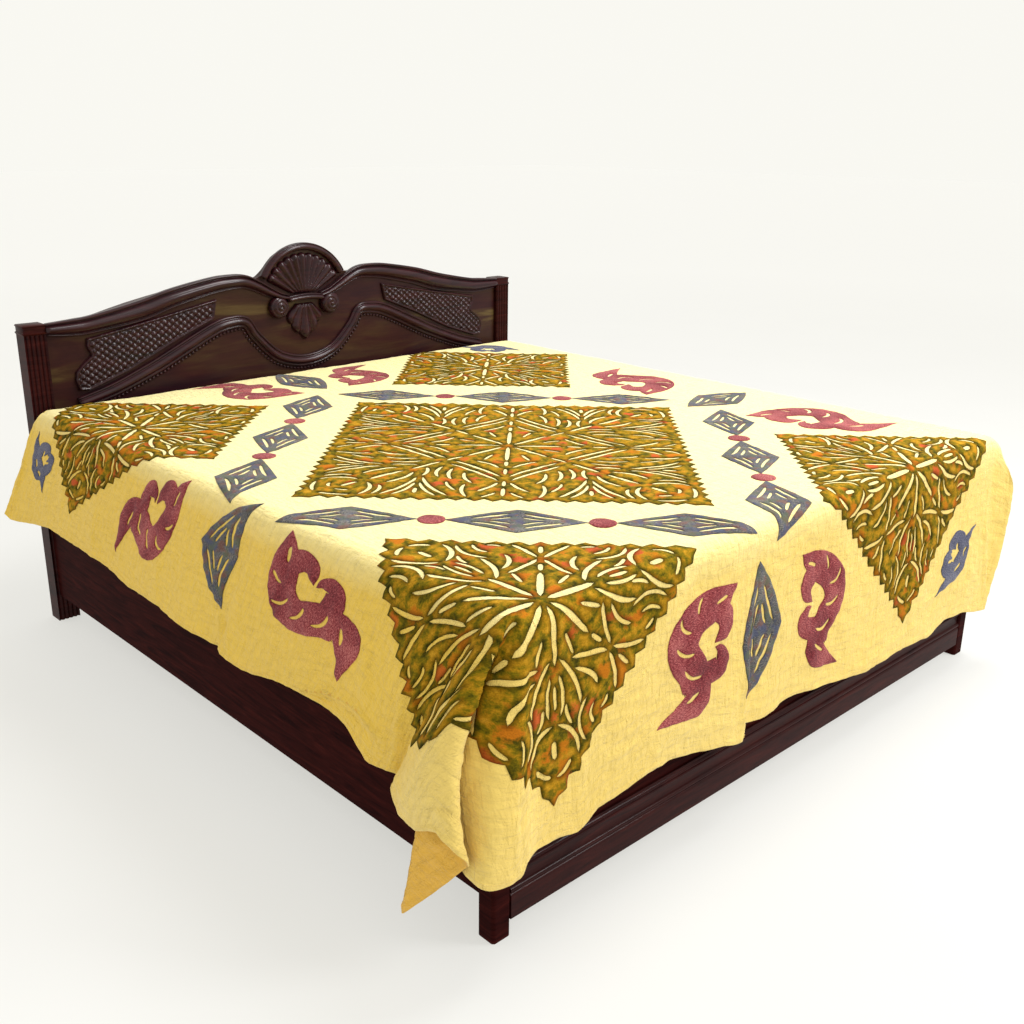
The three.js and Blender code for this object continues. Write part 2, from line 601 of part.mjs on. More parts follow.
for (const end of ends) {
  for (const side of sides) {
    const near = end.label === 'foot' && side.label === 'left';
    const middleX = PATTERN_MIDDLE.x + side.sign * CORNER_OFFSET.x + (near ? NEAR_SHIFT.x : 0);
    const middleY = PATTERN_MIDDLE.y + end.sign * CORNER_OFFSET.y + (near ? NEAR_SHIFT.y : 0);
    const inSquare = (x, y) => {
      const along = Math.abs(x - middleX + (y - middleY));
      const across = Math.abs(x - middleX - (y - middleY)) / (near ? NEAR_STRETCH : 1);
      return Math.max(along, across) < CORNER_HALF_DIAGONAL;
    };
    add(`applique_${end.label}_${side.label}`, sheetSolid(inSquare, appliqueLow, appliqueHigh), PRINT);
  }
}

// The origin lies on the floor under the middle of the whole
const bounds = new THREE.Box3().setFromObject(bed);
const middle = bounds.getCenter(new THREE.Vector3());
bed.position.set(-middle.x, -middle.y, -bounds.min.z);
bed.updateMatrixWorld(true);

export default bed;
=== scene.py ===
import math

import bpy
import numpy as np
from mathutils import Matrix, Vector, geometry, kdtree


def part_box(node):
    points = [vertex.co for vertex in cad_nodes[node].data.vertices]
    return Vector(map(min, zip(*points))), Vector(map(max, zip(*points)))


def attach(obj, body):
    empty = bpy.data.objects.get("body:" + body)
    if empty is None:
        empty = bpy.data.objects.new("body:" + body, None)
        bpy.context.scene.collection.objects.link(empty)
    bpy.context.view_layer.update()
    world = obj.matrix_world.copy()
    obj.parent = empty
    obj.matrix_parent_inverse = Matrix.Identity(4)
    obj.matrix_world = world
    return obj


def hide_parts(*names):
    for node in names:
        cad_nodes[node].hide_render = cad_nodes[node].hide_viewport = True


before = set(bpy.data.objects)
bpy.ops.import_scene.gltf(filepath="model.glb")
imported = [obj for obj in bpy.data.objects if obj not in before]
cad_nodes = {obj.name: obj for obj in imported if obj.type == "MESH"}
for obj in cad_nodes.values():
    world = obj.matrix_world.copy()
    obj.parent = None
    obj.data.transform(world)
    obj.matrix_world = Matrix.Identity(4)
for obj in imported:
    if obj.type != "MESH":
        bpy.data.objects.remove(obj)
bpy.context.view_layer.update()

# Lengths are millimetres in the bed's own frame: x across, y towards the headboard, z up from the
# floor, with x = 0 at the bed's middle. The row frame is that frame, shifted, in metres.
MM = 0.001
LEG_CORNER = (-950, -999)
leg_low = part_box("foot_leg_left")[0]
SHIFT = np.array([leg_low[0] - LEG_CORNER[0] * MM, leg_low[1] - LEG_CORNER[1] * MM, 0.0])
TAU = 2 * math.pi
SIDES = (("left", -1), ("right", 1))

# Flat cloth, in the bed's x and y where it lies on top, and the lines outside which it turns down
CLOTH = {"left": -1330, "right": 985, "foot": -1499, "head": 975}
RIM = {"left": -897, "right": 896, "foot": -977, "head": 955}
TURN = {"side": 45, "foot": 45, "head": 10}
TURN_ARC = 1.62
# The turn ends at this share of a fall that is shorter than the turn
SHORT_FALL = 0.98
CLOTH_TOP = 674
CLOTH_HALF_THICKNESS = 0.9
HEM_WIDTH = 13
HEM_HALF_THICKNESS = 1.7
STITCH_INSET = 10.5
STITCH_PITCH = 5.0
# Rings of a stitch, lower and upper: half length, half width and height above the cloth's middle
STITCH_RINGS = [(1.7, 0.45, 1.2), (1.4, 0.3, 2.2)]

# Grid of the cloth from left to right and from foot to head. Columns: from, to and spacing.
COLUMN_BANDS = [(CLOTH["left"], -970, 8), (-970, RIM["left"], 6), (RIM["left"], RIM["right"], 14),
                (RIM["right"], CLOTH["right"], 7)]
ROW_BANDS = [(CLOTH["foot"], -1400, 9), (-1400, -1200, 5), (-1200, -1050, 9), (-1050, RIM["foot"], 6),
             (RIM["foot"], RIM["head"], 14), (RIM["head"], CLOTH["head"], 5)]
CLOSEST_LINES = 1.2
# Small folds: height on the bed, and how much is added where the cloth hangs freely, this far past the rim
BROAD_HEIGHT = (0.4, 1.3)
FINE_HEIGHT = (0.35, 0.55)
FREE_DROP = 120
# Share of the painted shade on the hanging cloth that is taken off at the foot drop, which gets more light,
# and share of a crease's length over which it fades at each end
FOOT_PAINTED_LIGHT = 0.3
CREASE_FADE = 0.15

# Hem tables, a row for each fold or hollow. Columns: place along the flat edge, x, y and z of the
# hem there, and how far along x and y the drop swells half way down.
LEFT_HEM = np.array([
    (-1499, -1075, -888, 78, -36, 16),
    (-1400, -1045, -959, 157, -34, 28),
    (-1328, -1026, -1008, 217, -30, 29),
    (-1310, -1036, -1027, 237, -31, 23),
    (-1295, -1048, -1034, 255, -31, 20),
    (-1278, -1061, -1027, 271, -34, 17),
    (-1258, -1067, -1009, 285, -38, 16),
    (-1230, -1068, -983, 295, -43, 15),
    (-1191, -1068, -944, 281, -46, 12),
    (-1150, -1064, -905, 263, -44, 8),
    (-1113, -1058, -868, 265, -36, 6),
    (-1073, -1046, -829, 273, -26, 4),
    (-1035, -1030, -799, 284, -16, 2),
    (-1005, -1016, -797, 288, -12, 0),
    (-970, -1004, -790, 292, -8, 0),
    (-935, -1002, -778, 293, -5, 0),
    (-900, -1006, -758, 292, -5, 0),
    (-820, -1006, -697, 283, -5, 0),
    (-740, -1004, -618, 331, -5, 0),
    (-660, -1003, -533, 341, -5, 0),
    (-500, -1003, -371, 331, -5, 0),
    (-340, -1005, -211, 305, -5, 0),
    (-262, -1012, -136, 317, -5, 0),
    (-235, -1000, -116, 325, -5, 0),
    (-200, -1001, -84, 321, -5, 0),
    (-35, -1012, 98, 326, -5, 0),
    (40, -1010, 175, 335, -5, 0),
    (180, -1003, 317, 333, -5, 0),
    (300, -1003, 439, 348, -5, 0),
    (450, -1008, 590, 359, -5, 0),
    (690, -1005, 826, 362, -5, 0),
    (780, -1007, 912, 351, -5, 0),
    (955, -1028, 1075, 332, -2, 0),
    (975, -1040, 1093, 349, 0, 0),
], float)
FOOT_HEM = np.array([
    (-1330, -1075, -888, 78, -36, 16),
    (-1250, -1058, -882, 136, -30, 14),
    (-1200, -1034, -870, 169, -22, 6),
    (-1150, -1012, -910, 195, -30, 12),
    (-1100, -1008, -962, 198, -36, 16),
    (-1060, -1016, -999, 193, -23, 12),
    (-1025, -1020, -1034, 187, -12, 6),
    (-1000, -1008, -1053, 182, -5, 2),
    (-978, -985, -1058, 178, -2, -4),
    (-955, -962, -1060, 177, 0, -8),
    (-930, -941, -1057, 178, 0, -7),
    (-900, -915, -1050, 199, 0, -6),
    (-850, -860, -1026, 188, 0, -3),
    (-790, -794, -1027, 184, 0, -2),
    (-755, -757, -1028, 179, 0, -2),
    (-700, -700, -1030, 207, 0, -2),
    (-640, -640, -1032, 212, 0, -2),
    (-575, -575, -1034, 228, 0, -2),
    (-510, -510, -1036, 230, 0, -2),
    (-440, -440, -1038, 221, 0, -2),
    (-320, -320, -1041, 197, 0, -2),
    (-238, -240, -1044, 178, 0, -2),
    (-200, -216, -1026, 209, 0, -1),
    (-150, -152, -1028, 198, 0, -2),
    (-60, -56, -1031, 215, 0, -2),
    (60, 60, -1034, 202, 0, -2),
    (220, 219, -1036, 180, 0, -2),
    (300, 300, -1036, 168, 0, -2),
    (538, 538, -1037, 170, 0, -2),
    (630, 628, -1032, 161, 0, -2),
    (730, 728, -1034, 179, 0, -2),
    (800, 797, -1038, 179, 0, -2),
    (930, 924, -1035, 149, 0, -1),
    (985, 977, -1034, 142, 0, 0),
], float)
RIGHT_HEM = np.array([
    (-1499, 977, -1034, 142, 0, 0),
    (-1250, 1000, -1052, 390, 0, 0),
    (-1130, 1000, -1054, 500, 0, 0),
    (-1060, 986, -1044, 556, 0, 0),
    (-1000, 964, -1012, 596, 0, 0),
    (-900, 951, -905, 606, 0, 0),
    (955, 951, 955, 600, 0, 0),
    (975, 951, 974, 604, 0, 0),
], float)
HEAD_HEM = np.array([
    (-1330, -1040, 1093, 349, 0, 0),
    (-1200, -1004, 1058, 450, 0, 0),
    (-1080, -978, 1019, 558, 0, 0),
    (-1000, -960, 995, 622, 0, 0),
    (-940, -934, 975, 660, 0, 0),
    (-897, -897, 968, 663, 0, 0),
    (896, 896, 968, 663, 0, 0),
    (985, 951, 974, 604, 0, 0),
], float)

# Creases of the flat cloth. Columns: from p and q, to p and q, half width, and height of the ridge.
CREASES = [
    (-1320, -580, -1282, -690, 6, 8.0),
    (-1282, -690, -1258, -775, 6, 9.0),
    (-1258, -775, -1258, -848, 6, 8.0),
    (-1312, -640, -1284, -800, 9, -5.0),
    (-1075, -683, -1230, -770, 14, 5.0),
    (-1140, -852, -1310, -912, 11, 6.0),
    (-1282, -1040, -1290, -1120, 8, 4.5),
    (-1290, -1188, -1256, -1216, 8, -5.0),
    (-1256, -1216, -1262, -1244, 8, -4.5),
    (-1322, -1180, -1318, -1270, 7, 5.0),
    (-1150, -985, -1010, -960, 14, -3.0),
    (-1238, -202, -1329, -247, 7, 7.0),
    (-1242, -226, -1326, -275, 12, -4.0),
    (-1140, -300, -1085, -345, 10, 3.2),
    (-1320, 60, -1190, 85, 13, 4.0),
    (-1322, 420, -1160, 450, 12, 4.0),
    (-1300, 640, -1110, 695, 13, 4.2),
    (-1290, 250, -1215, 330, 9, 3.0),
    (-243, -1340, -232, -1470, 11, 4.0),
    (-264, -1350, -254, -1460, 13, -2.5),
    (-758, -1330, -746, -1478, 8, 5.0),
    (-860, -1470, -842, -1290, 9, 3.4),
    (-530, -1436, -275, -1446, 8, 3.6),
    (-702, -1387, -432, -1424, 8, 3.4),
    (-640, -1330, -380, -1372, 9, 2.6),
    (250, -1480, 520, -1455, 11, 3.2),
    (560, -1400, 760, -1372, 10, 2.8),
    (905, -1240, 976, -1488, 9, 6.5),
    (-60, -1180, 60, -1130, 12, 2.6),
    (420, -1130, 560, -1090, 12, 2.6),
]

# Applique, placed from the pattern's middle
MIDDLE = np.array([-177.0, -207.0])
APPLIQUE_LOW = 1.3
APPLIQUE_EDGE = 0.8
APPLIQUE_PUFF = 2.4
APPLIQUE_SOFTNESS = 8.0
EDGE_SHADE = 12.0
# Mesh points: spacing, the row beside each edge, the least distance from an edge, and jitter of the grid
SPACING = {"square": 9.0, "near_square": 6.5, "diamond": 8.0, "motif": 7.0, "lattice": 3.0, "volute": 2.5,
           "fan": 2.8}
EDGE_ROW = 3.5
EDGE_CLEARANCE = 0.7 * EDGE_ROW
GRID_JITTER = 0.2
GRID_SEED = 5
# Squares and their slits
CENTRE_HALF_SIDE = 668 / math.sqrt(2)
CENTRE_TEETH = 23
CORNER_HALF_SIDE = 412 / math.sqrt(2)
CORNER_TEETH = 14
CORNER_OFFSET = (642, 801)
TOOTH_DEPTH = 16
# Place of the first tooth, and the tooth from which they are cut full depth
FIRST_TOOTH = 0.35
FULL_TOOTH = 1.5
LEAF_STEPS = 9
LEAF_FULLNESS = 0.26
SLIT_WIDENING = 0.94
SLIT_LENGTHENING = 1.16
# The near corner square is longer one way: stretch of its length, and shift from its place
NEAR_STRETCH = 1.08
NEAR_SHIFT = (-17, 17)
# Diamonds, dots and motifs
ROW_PITCH = 364
ROW_DIAMOND = (306, 150)
ROW_BOW = 0.012
SIDE_DIAMOND_WIDTH = 150
SIDE_BOW = 0.05
DOT_RADIUS = 30
DOT_STEPS = 20
RIBBON_STEPS = 24
MOTIF_SLIT_WIDTH = 9
# Slits of a diamond: far and near end as shares of its length, low and high as shares of its width, and width
DIAMOND_SLITS = [(0.33, 0.04, 0.07, 0.31, 8.5), (0.2, 0.035, 0.035, 0.15, 7.5)]
DIAMOND_SLIT_BEND = 0.03

# Rows of diamonds between the squares: distance from the middle and shift along the row
DIAMOND_ROWS = [(572, 34), (612, -38), (603, 37), (623, -62)]
# Diamond in the middle of each side: offset from the middle, how far its own middle bows, and its length
SIDE_DIAMONDS = [(868, -28, 0, 300), (32, 1030, 0, 300), (-889, 2, -70, 310), (-25, -1056, 14, 344)]
# Red curled leaves: offset from the middle, angle in degrees, hand, and scale along both own axes
CURLED_LEAVES = [
    (-240, -1040, 0, 1, 1.0, 1.0), (236, -1066, -7, -1, 0.9, 1.03), (-918, -300, -13, 1, 0.9, 1.3),
    (-924, 390, 186, -1, 1.18, 0.9), (-176, 1006, 180, -1, 0.95, 0.95), (237, 986, 176, 1, 0.9, 0.9),
    (893, -372, -4, -1, 1.12, 1.12), (880, 316, 184, 1, 1.1, 1.1),
]
# Blue flowers beyond the corner squares, in the same columns
CORNER_FLOWERS = [
    (925, -1112, -36, 1, 1.0, 1.0), (-925, 1075, 138, 1, 1.0, 1.0), (-1010, -1140, -135, 1, 0.9, 0.9),
    (915, 1085, 45, 1, 1.0, 1.0),
]

# Slits of the squares in one eighth of the folded cloth, from the square's middle towards the middle of a
# side (u) and a corner (u = v). Columns: from u and v, to u and v, bend, width.
CORNER_CUTS = [
    (22, 0, 118, 0, 0, 14),
    (16, 16, 86, 86, 0, 14),
    (76, 32, 116, 48, 0, 9),
    (136, 0, 168, 0, 0, 10),
    (190, 10, 124, 54, 0.05, 11),
    (208, 10, 270, 52, -0.05, 11),
    (230, 0, 266, 0, 0, 10),
    (98, 78, 190, 108, -0.1, 11),
    (116, 101, 168, 150, -0.08, 9),
    (120, 120, 150, 150, 0, 9),
    (144, 68, 214, 66, -0.14, 10),
    (182, 170, 262, 182, -0.16, 11),
    (198, 198, 220, 220, 0, 13),
    (258, 204, 252, 242, -0.1, 10),
    (204, 96, 262, 152, 0.2, 10),
    (232, 96, 266, 124, 0.16, 9),
    (262, 74, 266, 100, -0.1, 9),
    (168, 130, 204, 148, 0.1, 9),
]
CENTRE_CUTS = [
    (24, 0, 136, 0, 0, 12),
    (18, 18, 98, 98, 0, 12),
    (92, 38, 134, 56, 0, 9),
    (154, 0, 190, 0, 0, 11),
    (276, 16, 160, 124, 0.03, 11),
    (306, 22, 188, 132, 0.03, 11),
    (206, 20, 152, 74, 0.08, 10),
    (222, 0, 262, 0, 0, 10),
    (318, 0, 356, 0, 0, 10),
    (332, 18, 396, 58, -0.06, 11),
    (376, 0, 430, 0, 0, 11),
    (408, 20, 444, 48, -0.06, 9),
    (114, 114, 148, 148, 0, 10),
    (168, 168, 226, 226, 0, 12),
    (212, 154, 288, 158, 0.12, 10),
    (226, 128, 304, 126, 0.1, 10),
    (256, 96, 332, 76, 0.1, 10),
    (306, 190, 428, 128, 0.08, 11),
    (308, 214, 428, 280, -0.08, 11),
    (346, 194, 432, 154, 0.08, 10),
    (348, 212, 432, 252, -0.08, 10),
    (384, 203, 418, 203, 0, 11),
    (352, 90, 438, 82, 0.1, 10),
    (334, 134, 394, 110, 0.08, 9),
    (218, 194, 282, 198, -0.1, 10),
    (262, 226, 338, 276, -0.12, 11),
    (250, 250, 316, 316, 0, 12),
    (350, 322, 434, 330, -0.18, 11),
    (366, 292, 430, 300, -0.14, 10),
    (346, 346, 376, 376, 0, 12),
    (440, 350, 434, 416, -0.08, 10),
    (406, 356, 402, 386, -0.12, 9),
]

# Small motifs in their own axes. Columns: x, y and width of a ribbon that runs through the rows.
CURLED_LEAF = [
    [(130, 134, 0), (94, 114, 50), (42, 100, 78), (-12, 80, 86), (-48, 42, 94), (-46, 0, 92), (-16, -42, 92),
     (2, -84, 92), (0, -108, 66)],
    [(4, -74, 88), (0, -116, 84), (-52, -138, 46), (-124, -154, 0)],
    [(62, 92, 60), (90, 64, 56), (84, 34, 46), (52, 12, 0)],
    [(10, -58, 60), (62, -54, 56), (86, -34, 46), (74, -8, 26), (54, 2, 0)],
]
CURLED_LEAF_SLITS = [
    (100, 110, 58, 100, -0.06), (16, 124, 0, 88, -0.14), (-56, 94, -22, 52, -0.25), (-68, 24, -14, 2, -0.2),
    (-42, -34, 16, -58, -0.22), (10, -98, -34, -116, 0.05),
]
CORNER_FLOWER = [
    [(-40, -120, 0), (-8, -72, 34), (14, -22, 64), (16, 22, 60), (4, 62, 32), (24, 120, 0)],
    [(6, 34, 40), (-34, 46, 48), (-58, 24, 46), (-62, 2, 14), (-50, -2, 0)],
    [(6, -34, 40), (-34, -42, 48), (-58, -22, 46), (-62, -2, 14), (-50, 2, 0)],
]
CORNER_FLOWER_SLITS = [
    (-46, 30, -26, 14, 0), (-46, -28, -26, -14, 0), (14, -36, 22, -4, 0.1), (22, 14, 16, 46, 0.1),
]

# Headboard, right half, mirrored for the left. Columns: x, z and width of a moulding.
PANEL_FRONT = 1011.7
CORNICE = [
    (884, 898, 38), (800, 897, 52), (740, 901, 56), (590, 925, 66), (480, 955, 62), (353, 980, 56),
    (290, 987, 52), (231, 987, 46), (185, 971, 40), (140, 948, 34), (98, 929, 26), (64, 921, 20),
]
LOWER_MOULDING = [
    (806, 668, 38), (690, 698, 42), (565, 745, 45), (490, 778, 46), (350, 842, 44), (285, 858, 42),
    (228, 854, 38), (190, 802, 38), (108, 728, 40), (0, 702, 40),
]
CORNICE_STEPS = 90
LOWER_STEPS = 220
# Profiles of the mouldings. Columns: share of the width, from lower to upper edge, and how far out.
CORNICE_PROFILE = [
    (-0.5, 0), (-0.5, 4), (-0.47, 7), (-0.42, 8), (-0.38, 6), (-0.36, 4), (-0.33, 8), (-0.27, 15),
    (-0.16, 21), (-0.02, 23), (0.12, 21), (0.22, 16), (0.28, 10), (0.31, 9), (0.33, 13), (0.37, 17),
    (0.43, 18), (0.48, 16), (0.5, 12), (0.5, 0),
]
LOWER_PROFILE = [
    (-0.5, 0), (-0.5, 5), (-0.44, 8), (-0.36, 7), (-0.32, 5), (-0.27, 11), (-0.16, 17), (0, 19), (0.14, 17),
    (0.24, 11), (0.28, 6), (0.32, 9), (0.4, 11), (0.47, 9), (0.5, 4), (0.5, 0),
]
RIM_PROFILE = [
    (-0.5, 0), (-0.5, 9), (-0.4, 15), (-0.2, 20), (0.05, 20), (0.24, 15), (0.3, 11), (0.36, 14), (0.46, 14),
    (0.5, 10), (0.5, 0),
]
# Head posts
POST = {"inner": 885, "outer": 950, "front": 999, "back": 1056, "neck": 889, "margin": 6.5, "reeds": 4,
        "reed_width": 13, "reed_depth": 5, "reed_steps": 6, "corner": 3, "corner_steps": 2}
# Capital rings: z and how far they stand out
POST_CAPITAL = [
    (886, -3), (888, 1), (891, 3), (894, 3), (896, 0.5), (910, 0.5), (912, 2.5), (914, 2.5), (916, 0),
]
# Moulding of the foot rail: its profile as height and distance out of the rail
FOOT_RAIL = {"half_length": 903.5, "front": -989}
FOOT_PROFILE = [
    (35, 0), (35, 8.4), (36.5, 9.8), (84, 9.8), (88, 9.2), (90.5, 7.4), (91.5, 5.6), (93, 5.4), (94.5, 7.6),
    (97, 9.2), (99.5, 9.4), (102, 8.4), (103.5, 6), (105, 3.6), (108, 2.8), (127, 2.8), (129, 4), (131, 6.6),
    (133.5, 7.6), (136, 6.8), (137.5, 4.4), (139, 4.2), (140.5, 6.6), (143, 7.8), (145.5, 7), (147.5, 4.6),
    (150, 4.4), (152, 5.2), (154, 4.2), (154, 0),
]
MATTRESS = {"half_width": 936, "foot": -1016, "head": 975, "corner": 70, "corner_steps": 8}
# Mattress rings, lowest first: inset and z
MATTRESS_PROFILE = [
    (110, 440.5), (46, 441), (26, 447), (13, 458), (9, 468), (4, 473), (4, 479), (9, 484), (4, 505),
    (1.5, 540), (1, 560), (2.5, 590), (9, 612), (4.5, 617), (4.5, 623), (10, 628), (12, 640), (18, 652),
    (29, 662), (48, 669), (110, 670.4), (300, 670.6),
]
# Carvings of the headboard
BEAD = {"radius": 5.5, "pitch": 14, "gap": 1.5, "rings": 4, "around": 10}
LATTICE_OUTLINE = [
    (328, 940), (560, 896), (766, 860), (768, 836), (756, 808), (786, 786), (808, 764), (812, 738),
    (804, 708), (770, 704), (640, 748), (470, 826), (342, 878),
]
LATTICE = {"pitch": 21, "lean": 0.8, "base": 3, "lip": 9, "stud": 9, "fade": 4, "edge_step": 6}
# Fans: what both share, the shell that opens upwards, and the pendant that comes to a point below
FAN = {"base": 4, "rise": 10, "swell": 5, "groove": 0.35, "knob": 7, "edge": 12, "rib_end": 9,
       "rib_steps": 12}
SHELL = {"z": 907, "reach": 160, "taper": 0, "sign": 1, "spread": 62, "ribs": 11, "collar": 56}
PENDANT = {"z": 930, "reach": 156, "taper": 0.36, "sign": -1, "spread": 46, "ribs": 5, "collar": 46}
SHELL_RIM = {"z": 915, "radius": 172, "spread": 63, "width": 25, "points": 61}
COLLAR = {"z": 921, "half_length": 66, "bow": 0.0012, "width": 20, "out": 1.5, "points": 25}
VOLUTE = {"x": 102, "z": 892, "radius": 37, "out": 30, "base": 6, "groove": 5, "pitch": 14, "edge": 5,
          "steps": 40}

# Camera and lights
CAMERA_PLACE = (-2128.9, -2275.4, 1452.2)
CAMERA_YAW = math.radians(43.569)
CAMERA_PITCH = math.radians(18.666)
CAMERA_ROLL = math.radians(0.707)
CAMERA_LENS = 39.325
CAMERA_SENSOR = 36
# The floor's glow is painted light: it gives off that share of the world's colour, which lightens the shadows
# on it
FLOOR = {"size": 80, "z": -0.0005, "glow": 0.62, "near": (0.25, 0.26), "away": 0.945}
WORLD_COLOUR = (0.95, 0.94, 0.885)
WORLD_STRENGTH = 1.0
# Lights: name, place, target, size and power
LIGHTS = [
    ("key_light", (2.3, -4.0, 3.2), (0.1, -0.2, 0.4), 1.4, 120),
    ("top_light", (1.3, -0.7, 3.8), (0, 0.2, 0.5), 1.5, 120),
]


def to_row(points):
    """Points of the bed's own frame, in the row frame."""
    return np.asarray(points, float) * MM + SHIFT


def left_of(directions):
    """Flat directions turned a quarter to the left."""
    return np.column_stack([-directions[:, 1], directions[:, 0]])


def unit(vectors):
    """Vectors with their lengths made 1."""
    return vectors / np.maximum(np.linalg.norm(vectors, axis=1), 1e-9)[:, None]


def grid_of(columns, rows, indexing="ij"):
    """The two coordinates of every crossing of a grid, as flat lists."""
    return [side.ravel() for side in np.meshgrid(columns, rows, indexing=indexing)]


# Drape


def hem_at(table, at):
    """x, y, z and swell of a hem at places along it, on a curve that swings no further than its rows."""
    place = table[:, 0]
    values = table[:, 1:]
    gap = np.diff(place)[:, None]
    slope = np.diff(values, axis=0) / gap
    before, after = gap[:-1], gap[1:]
    turns = slope[:-1] * slope[1:] <= 0
    shares = (2 * after + before) / np.where(turns, 1, slope[:-1])
    shares = shares + (after + 2 * before) / np.where(turns, 1, slope[1:])
    inner = np.where(turns, 0, 3 * (before + after) / np.where(turns, 1, shares))
    tangent = np.vstack([slope[:1], inner, slope[-1:]])
    i = np.clip(np.searchsorted(place, at) - 1, 0, len(place) - 2)
    length = gap[i]
    u = (at - place[i])[:, None] / length
    start = values[i] * (2 * u**3 - 3 * u**2 + 1) + tangent[i] * length * (u**3 - 2 * u**2 + u)
    return start + values[i + 1] * (3 * u**2 - 2 * u**3) + tangent[i + 1] * length * (u**3 - u**2)


def drape(p, q):
    """Places of flat cloth points once draped: flat inside the rim, and outside it over the mattress
    edge and straight down to the hem."""
    rim_p = np.clip(p, RIM["left"], RIM["right"])
    rim_q = np.clip(q, RIM["foot"], RIM["head"])
    rim = np.column_stack([rim_p, rim_q, np.full(len(p), float(CLOTH_TOP))])
    past_p, past_q = p - rim_p, q - rim_q
    past = np.hypot(past_p, past_q)
    hangs = past > 1e-9
    result = rim.copy()
    if not hangs.any():
        return result
    rim, rim_p, rim_q = rim[hangs], rim_p[hangs], rim_q[hangs]
    past_p, past_q, past = past_p[hangs], past_q[hangs], past[hangs]
    edge_p = np.where(past_p < 0, CLOTH["left"], CLOTH["right"])
    edge_q = np.where(past_q < 0, CLOTH["foot"], CLOTH["head"])
    never = 1e12
    to_side = np.where(past_p == 0, never, (edge_p - rim_p) / np.where(past_p == 0, 1, past_p))
    to_end = np.where(past_q == 0, never, (edge_q - rim_q) / np.where(past_q == 0, 1, past_q))
    reach = np.minimum(to_side, to_end)
    on_side = to_side <= to_end
    hem = np.empty((len(past), 5))
    for here, table, at in (
        (on_side & (past_p < 0), LEFT_HEM, rim_q + past_q * reach),
        (on_side & (past_p > 0), RIGHT_HEM, rim_q + past_q * reach),
        (~on_side & (past_q < 0), FOOT_HEM, rim_p + past_p * reach),
        (~on_side & (past_q > 0), HEAD_HEM, rim_p + past_p * reach),
    ):
        hem[here] = hem_at(table, at[here])
    hem, swell = hem[:, :3], hem[:, 3:]
    out_p, out_q = past_p / past, past_q / past
    turn = np.hypot(TURN["side"] * out_p, np.where(past_q < 0, TURN["foot"], TURN["head"]) * out_q)
    edge = rim + np.column_stack([out_p * turn, out_q * turn, np.zeros(len(turn))])
    fall = hem - edge
    fall_length = np.linalg.norm(fall, axis=1)
    bend = edge + fall * (np.minimum(turn, fall_length * SHORT_FALL) / fall_length)[:, None]
    arc = TURN_ARC * turn
    drop = np.linalg.norm(hem - bend, axis=1)
    run = (arc + drop) / reach
    u = np.clip(run / arc, 0, 1)[:, None]
    turned_over = rim * (1 - u) ** 2 + edge * (2 * u * (1 - u)) + bend * u**2
    down = np.clip((run - arc) / drop, 0, 1)
    hung = bend + (hem - bend) * down[:, None]
    hung[:, :2] += swell * (4 * down * (1 - down))[:, None]
    result[hangs] = np.where(u < 1, turned_over, hung)
    return result


def wave_table(seed, count, shortest, longest, lean, spread):
    """Soft waves of many lengths and directions, each as wave numbers along p and q and a phase."""
    draw = np.random.default_rng(seed)
    length = np.exp(draw.uniform(math.log(shortest), math.log(longest), count))
    angle = draw.normal(lean, spread, count)
    phase = draw.uniform(0, TAU, count)
    return np.column_stack([np.cos(angle) * TAU / length, np.sin(angle) * TAU / length, phase])


def waves(table, p, q):
    """Sum of the waves in a table, about 1 high."""
    total = sum(np.sin(along * p + across * q + phase) for along, across, phase in table)
    return total / math.sqrt(len(table) / 2)


BROAD_WAVES = wave_table(seed=3, count=14, shortest=140, longest=420, lean=0.8, spread=1.2)
FINE_WAVES = wave_table(seed=7, count=26, shortest=26, longest=80, lean=1.1, spread=0.7)


def ridge(p, q, crease):
    """Height of one crease, soft across and fading out at its ends."""
    from_p, from_q, to_p, to_q, width, height = crease
    along = np.array([to_p - from_p, to_q - from_q])
    length = np.hypot(*along)
    along = along / length
    run = ((p - from_p) * along[0] + (q - from_q) * along[1]) / length
    off = (p - from_p) * -along[1] + (q - from_q) * along[0]
    ends = np.clip(np.minimum(run + CREASE_FADE, 1 + CREASE_FADE - run) / (2 * CREASE_FADE), 0, 1)
    return height * np.exp(-((off / width) ** 2)) * ends * ends * (3 - 2 * ends)


def hanging(p, q):
    """0 where the cloth lies on the bed, and 1 where it hangs freely."""
    past = np.hypot(p - np.clip(p, RIM["left"], RIM["right"]), q - np.clip(q, RIM["foot"], RIM["head"]))
    return np.clip(past / FREE_DROP, 0, 1)


def relief(p, q):
    """Height of the cloth's small folds above its drape."""
    free = hanging(p, q)
    broad, fine = (lying + more * free for lying, more in (BROAD_HEIGHT, FINE_HEIGHT))
    height = broad * waves(BROAD_WAVES, p, q) + fine * waves(FINE_WAVES, p, q)
    return height + sum(ridge(p, q, crease) for crease in CREASES)


def lay(p, q, height):
    """Row-frame points at a height above the middle of the draped cloth."""
    p = np.asarray(p, float)
    q = np.asarray(q, float)
    step = 2.0
    along = drape(p + step, q) - drape(p - step, q)
    across = drape(p, q + step) - drape(p, q - step)
    normal = unit(np.cross(along, across))
    return to_row(drape(p, q) + normal * (height + relief(p, q))[:, None])


# Shaders


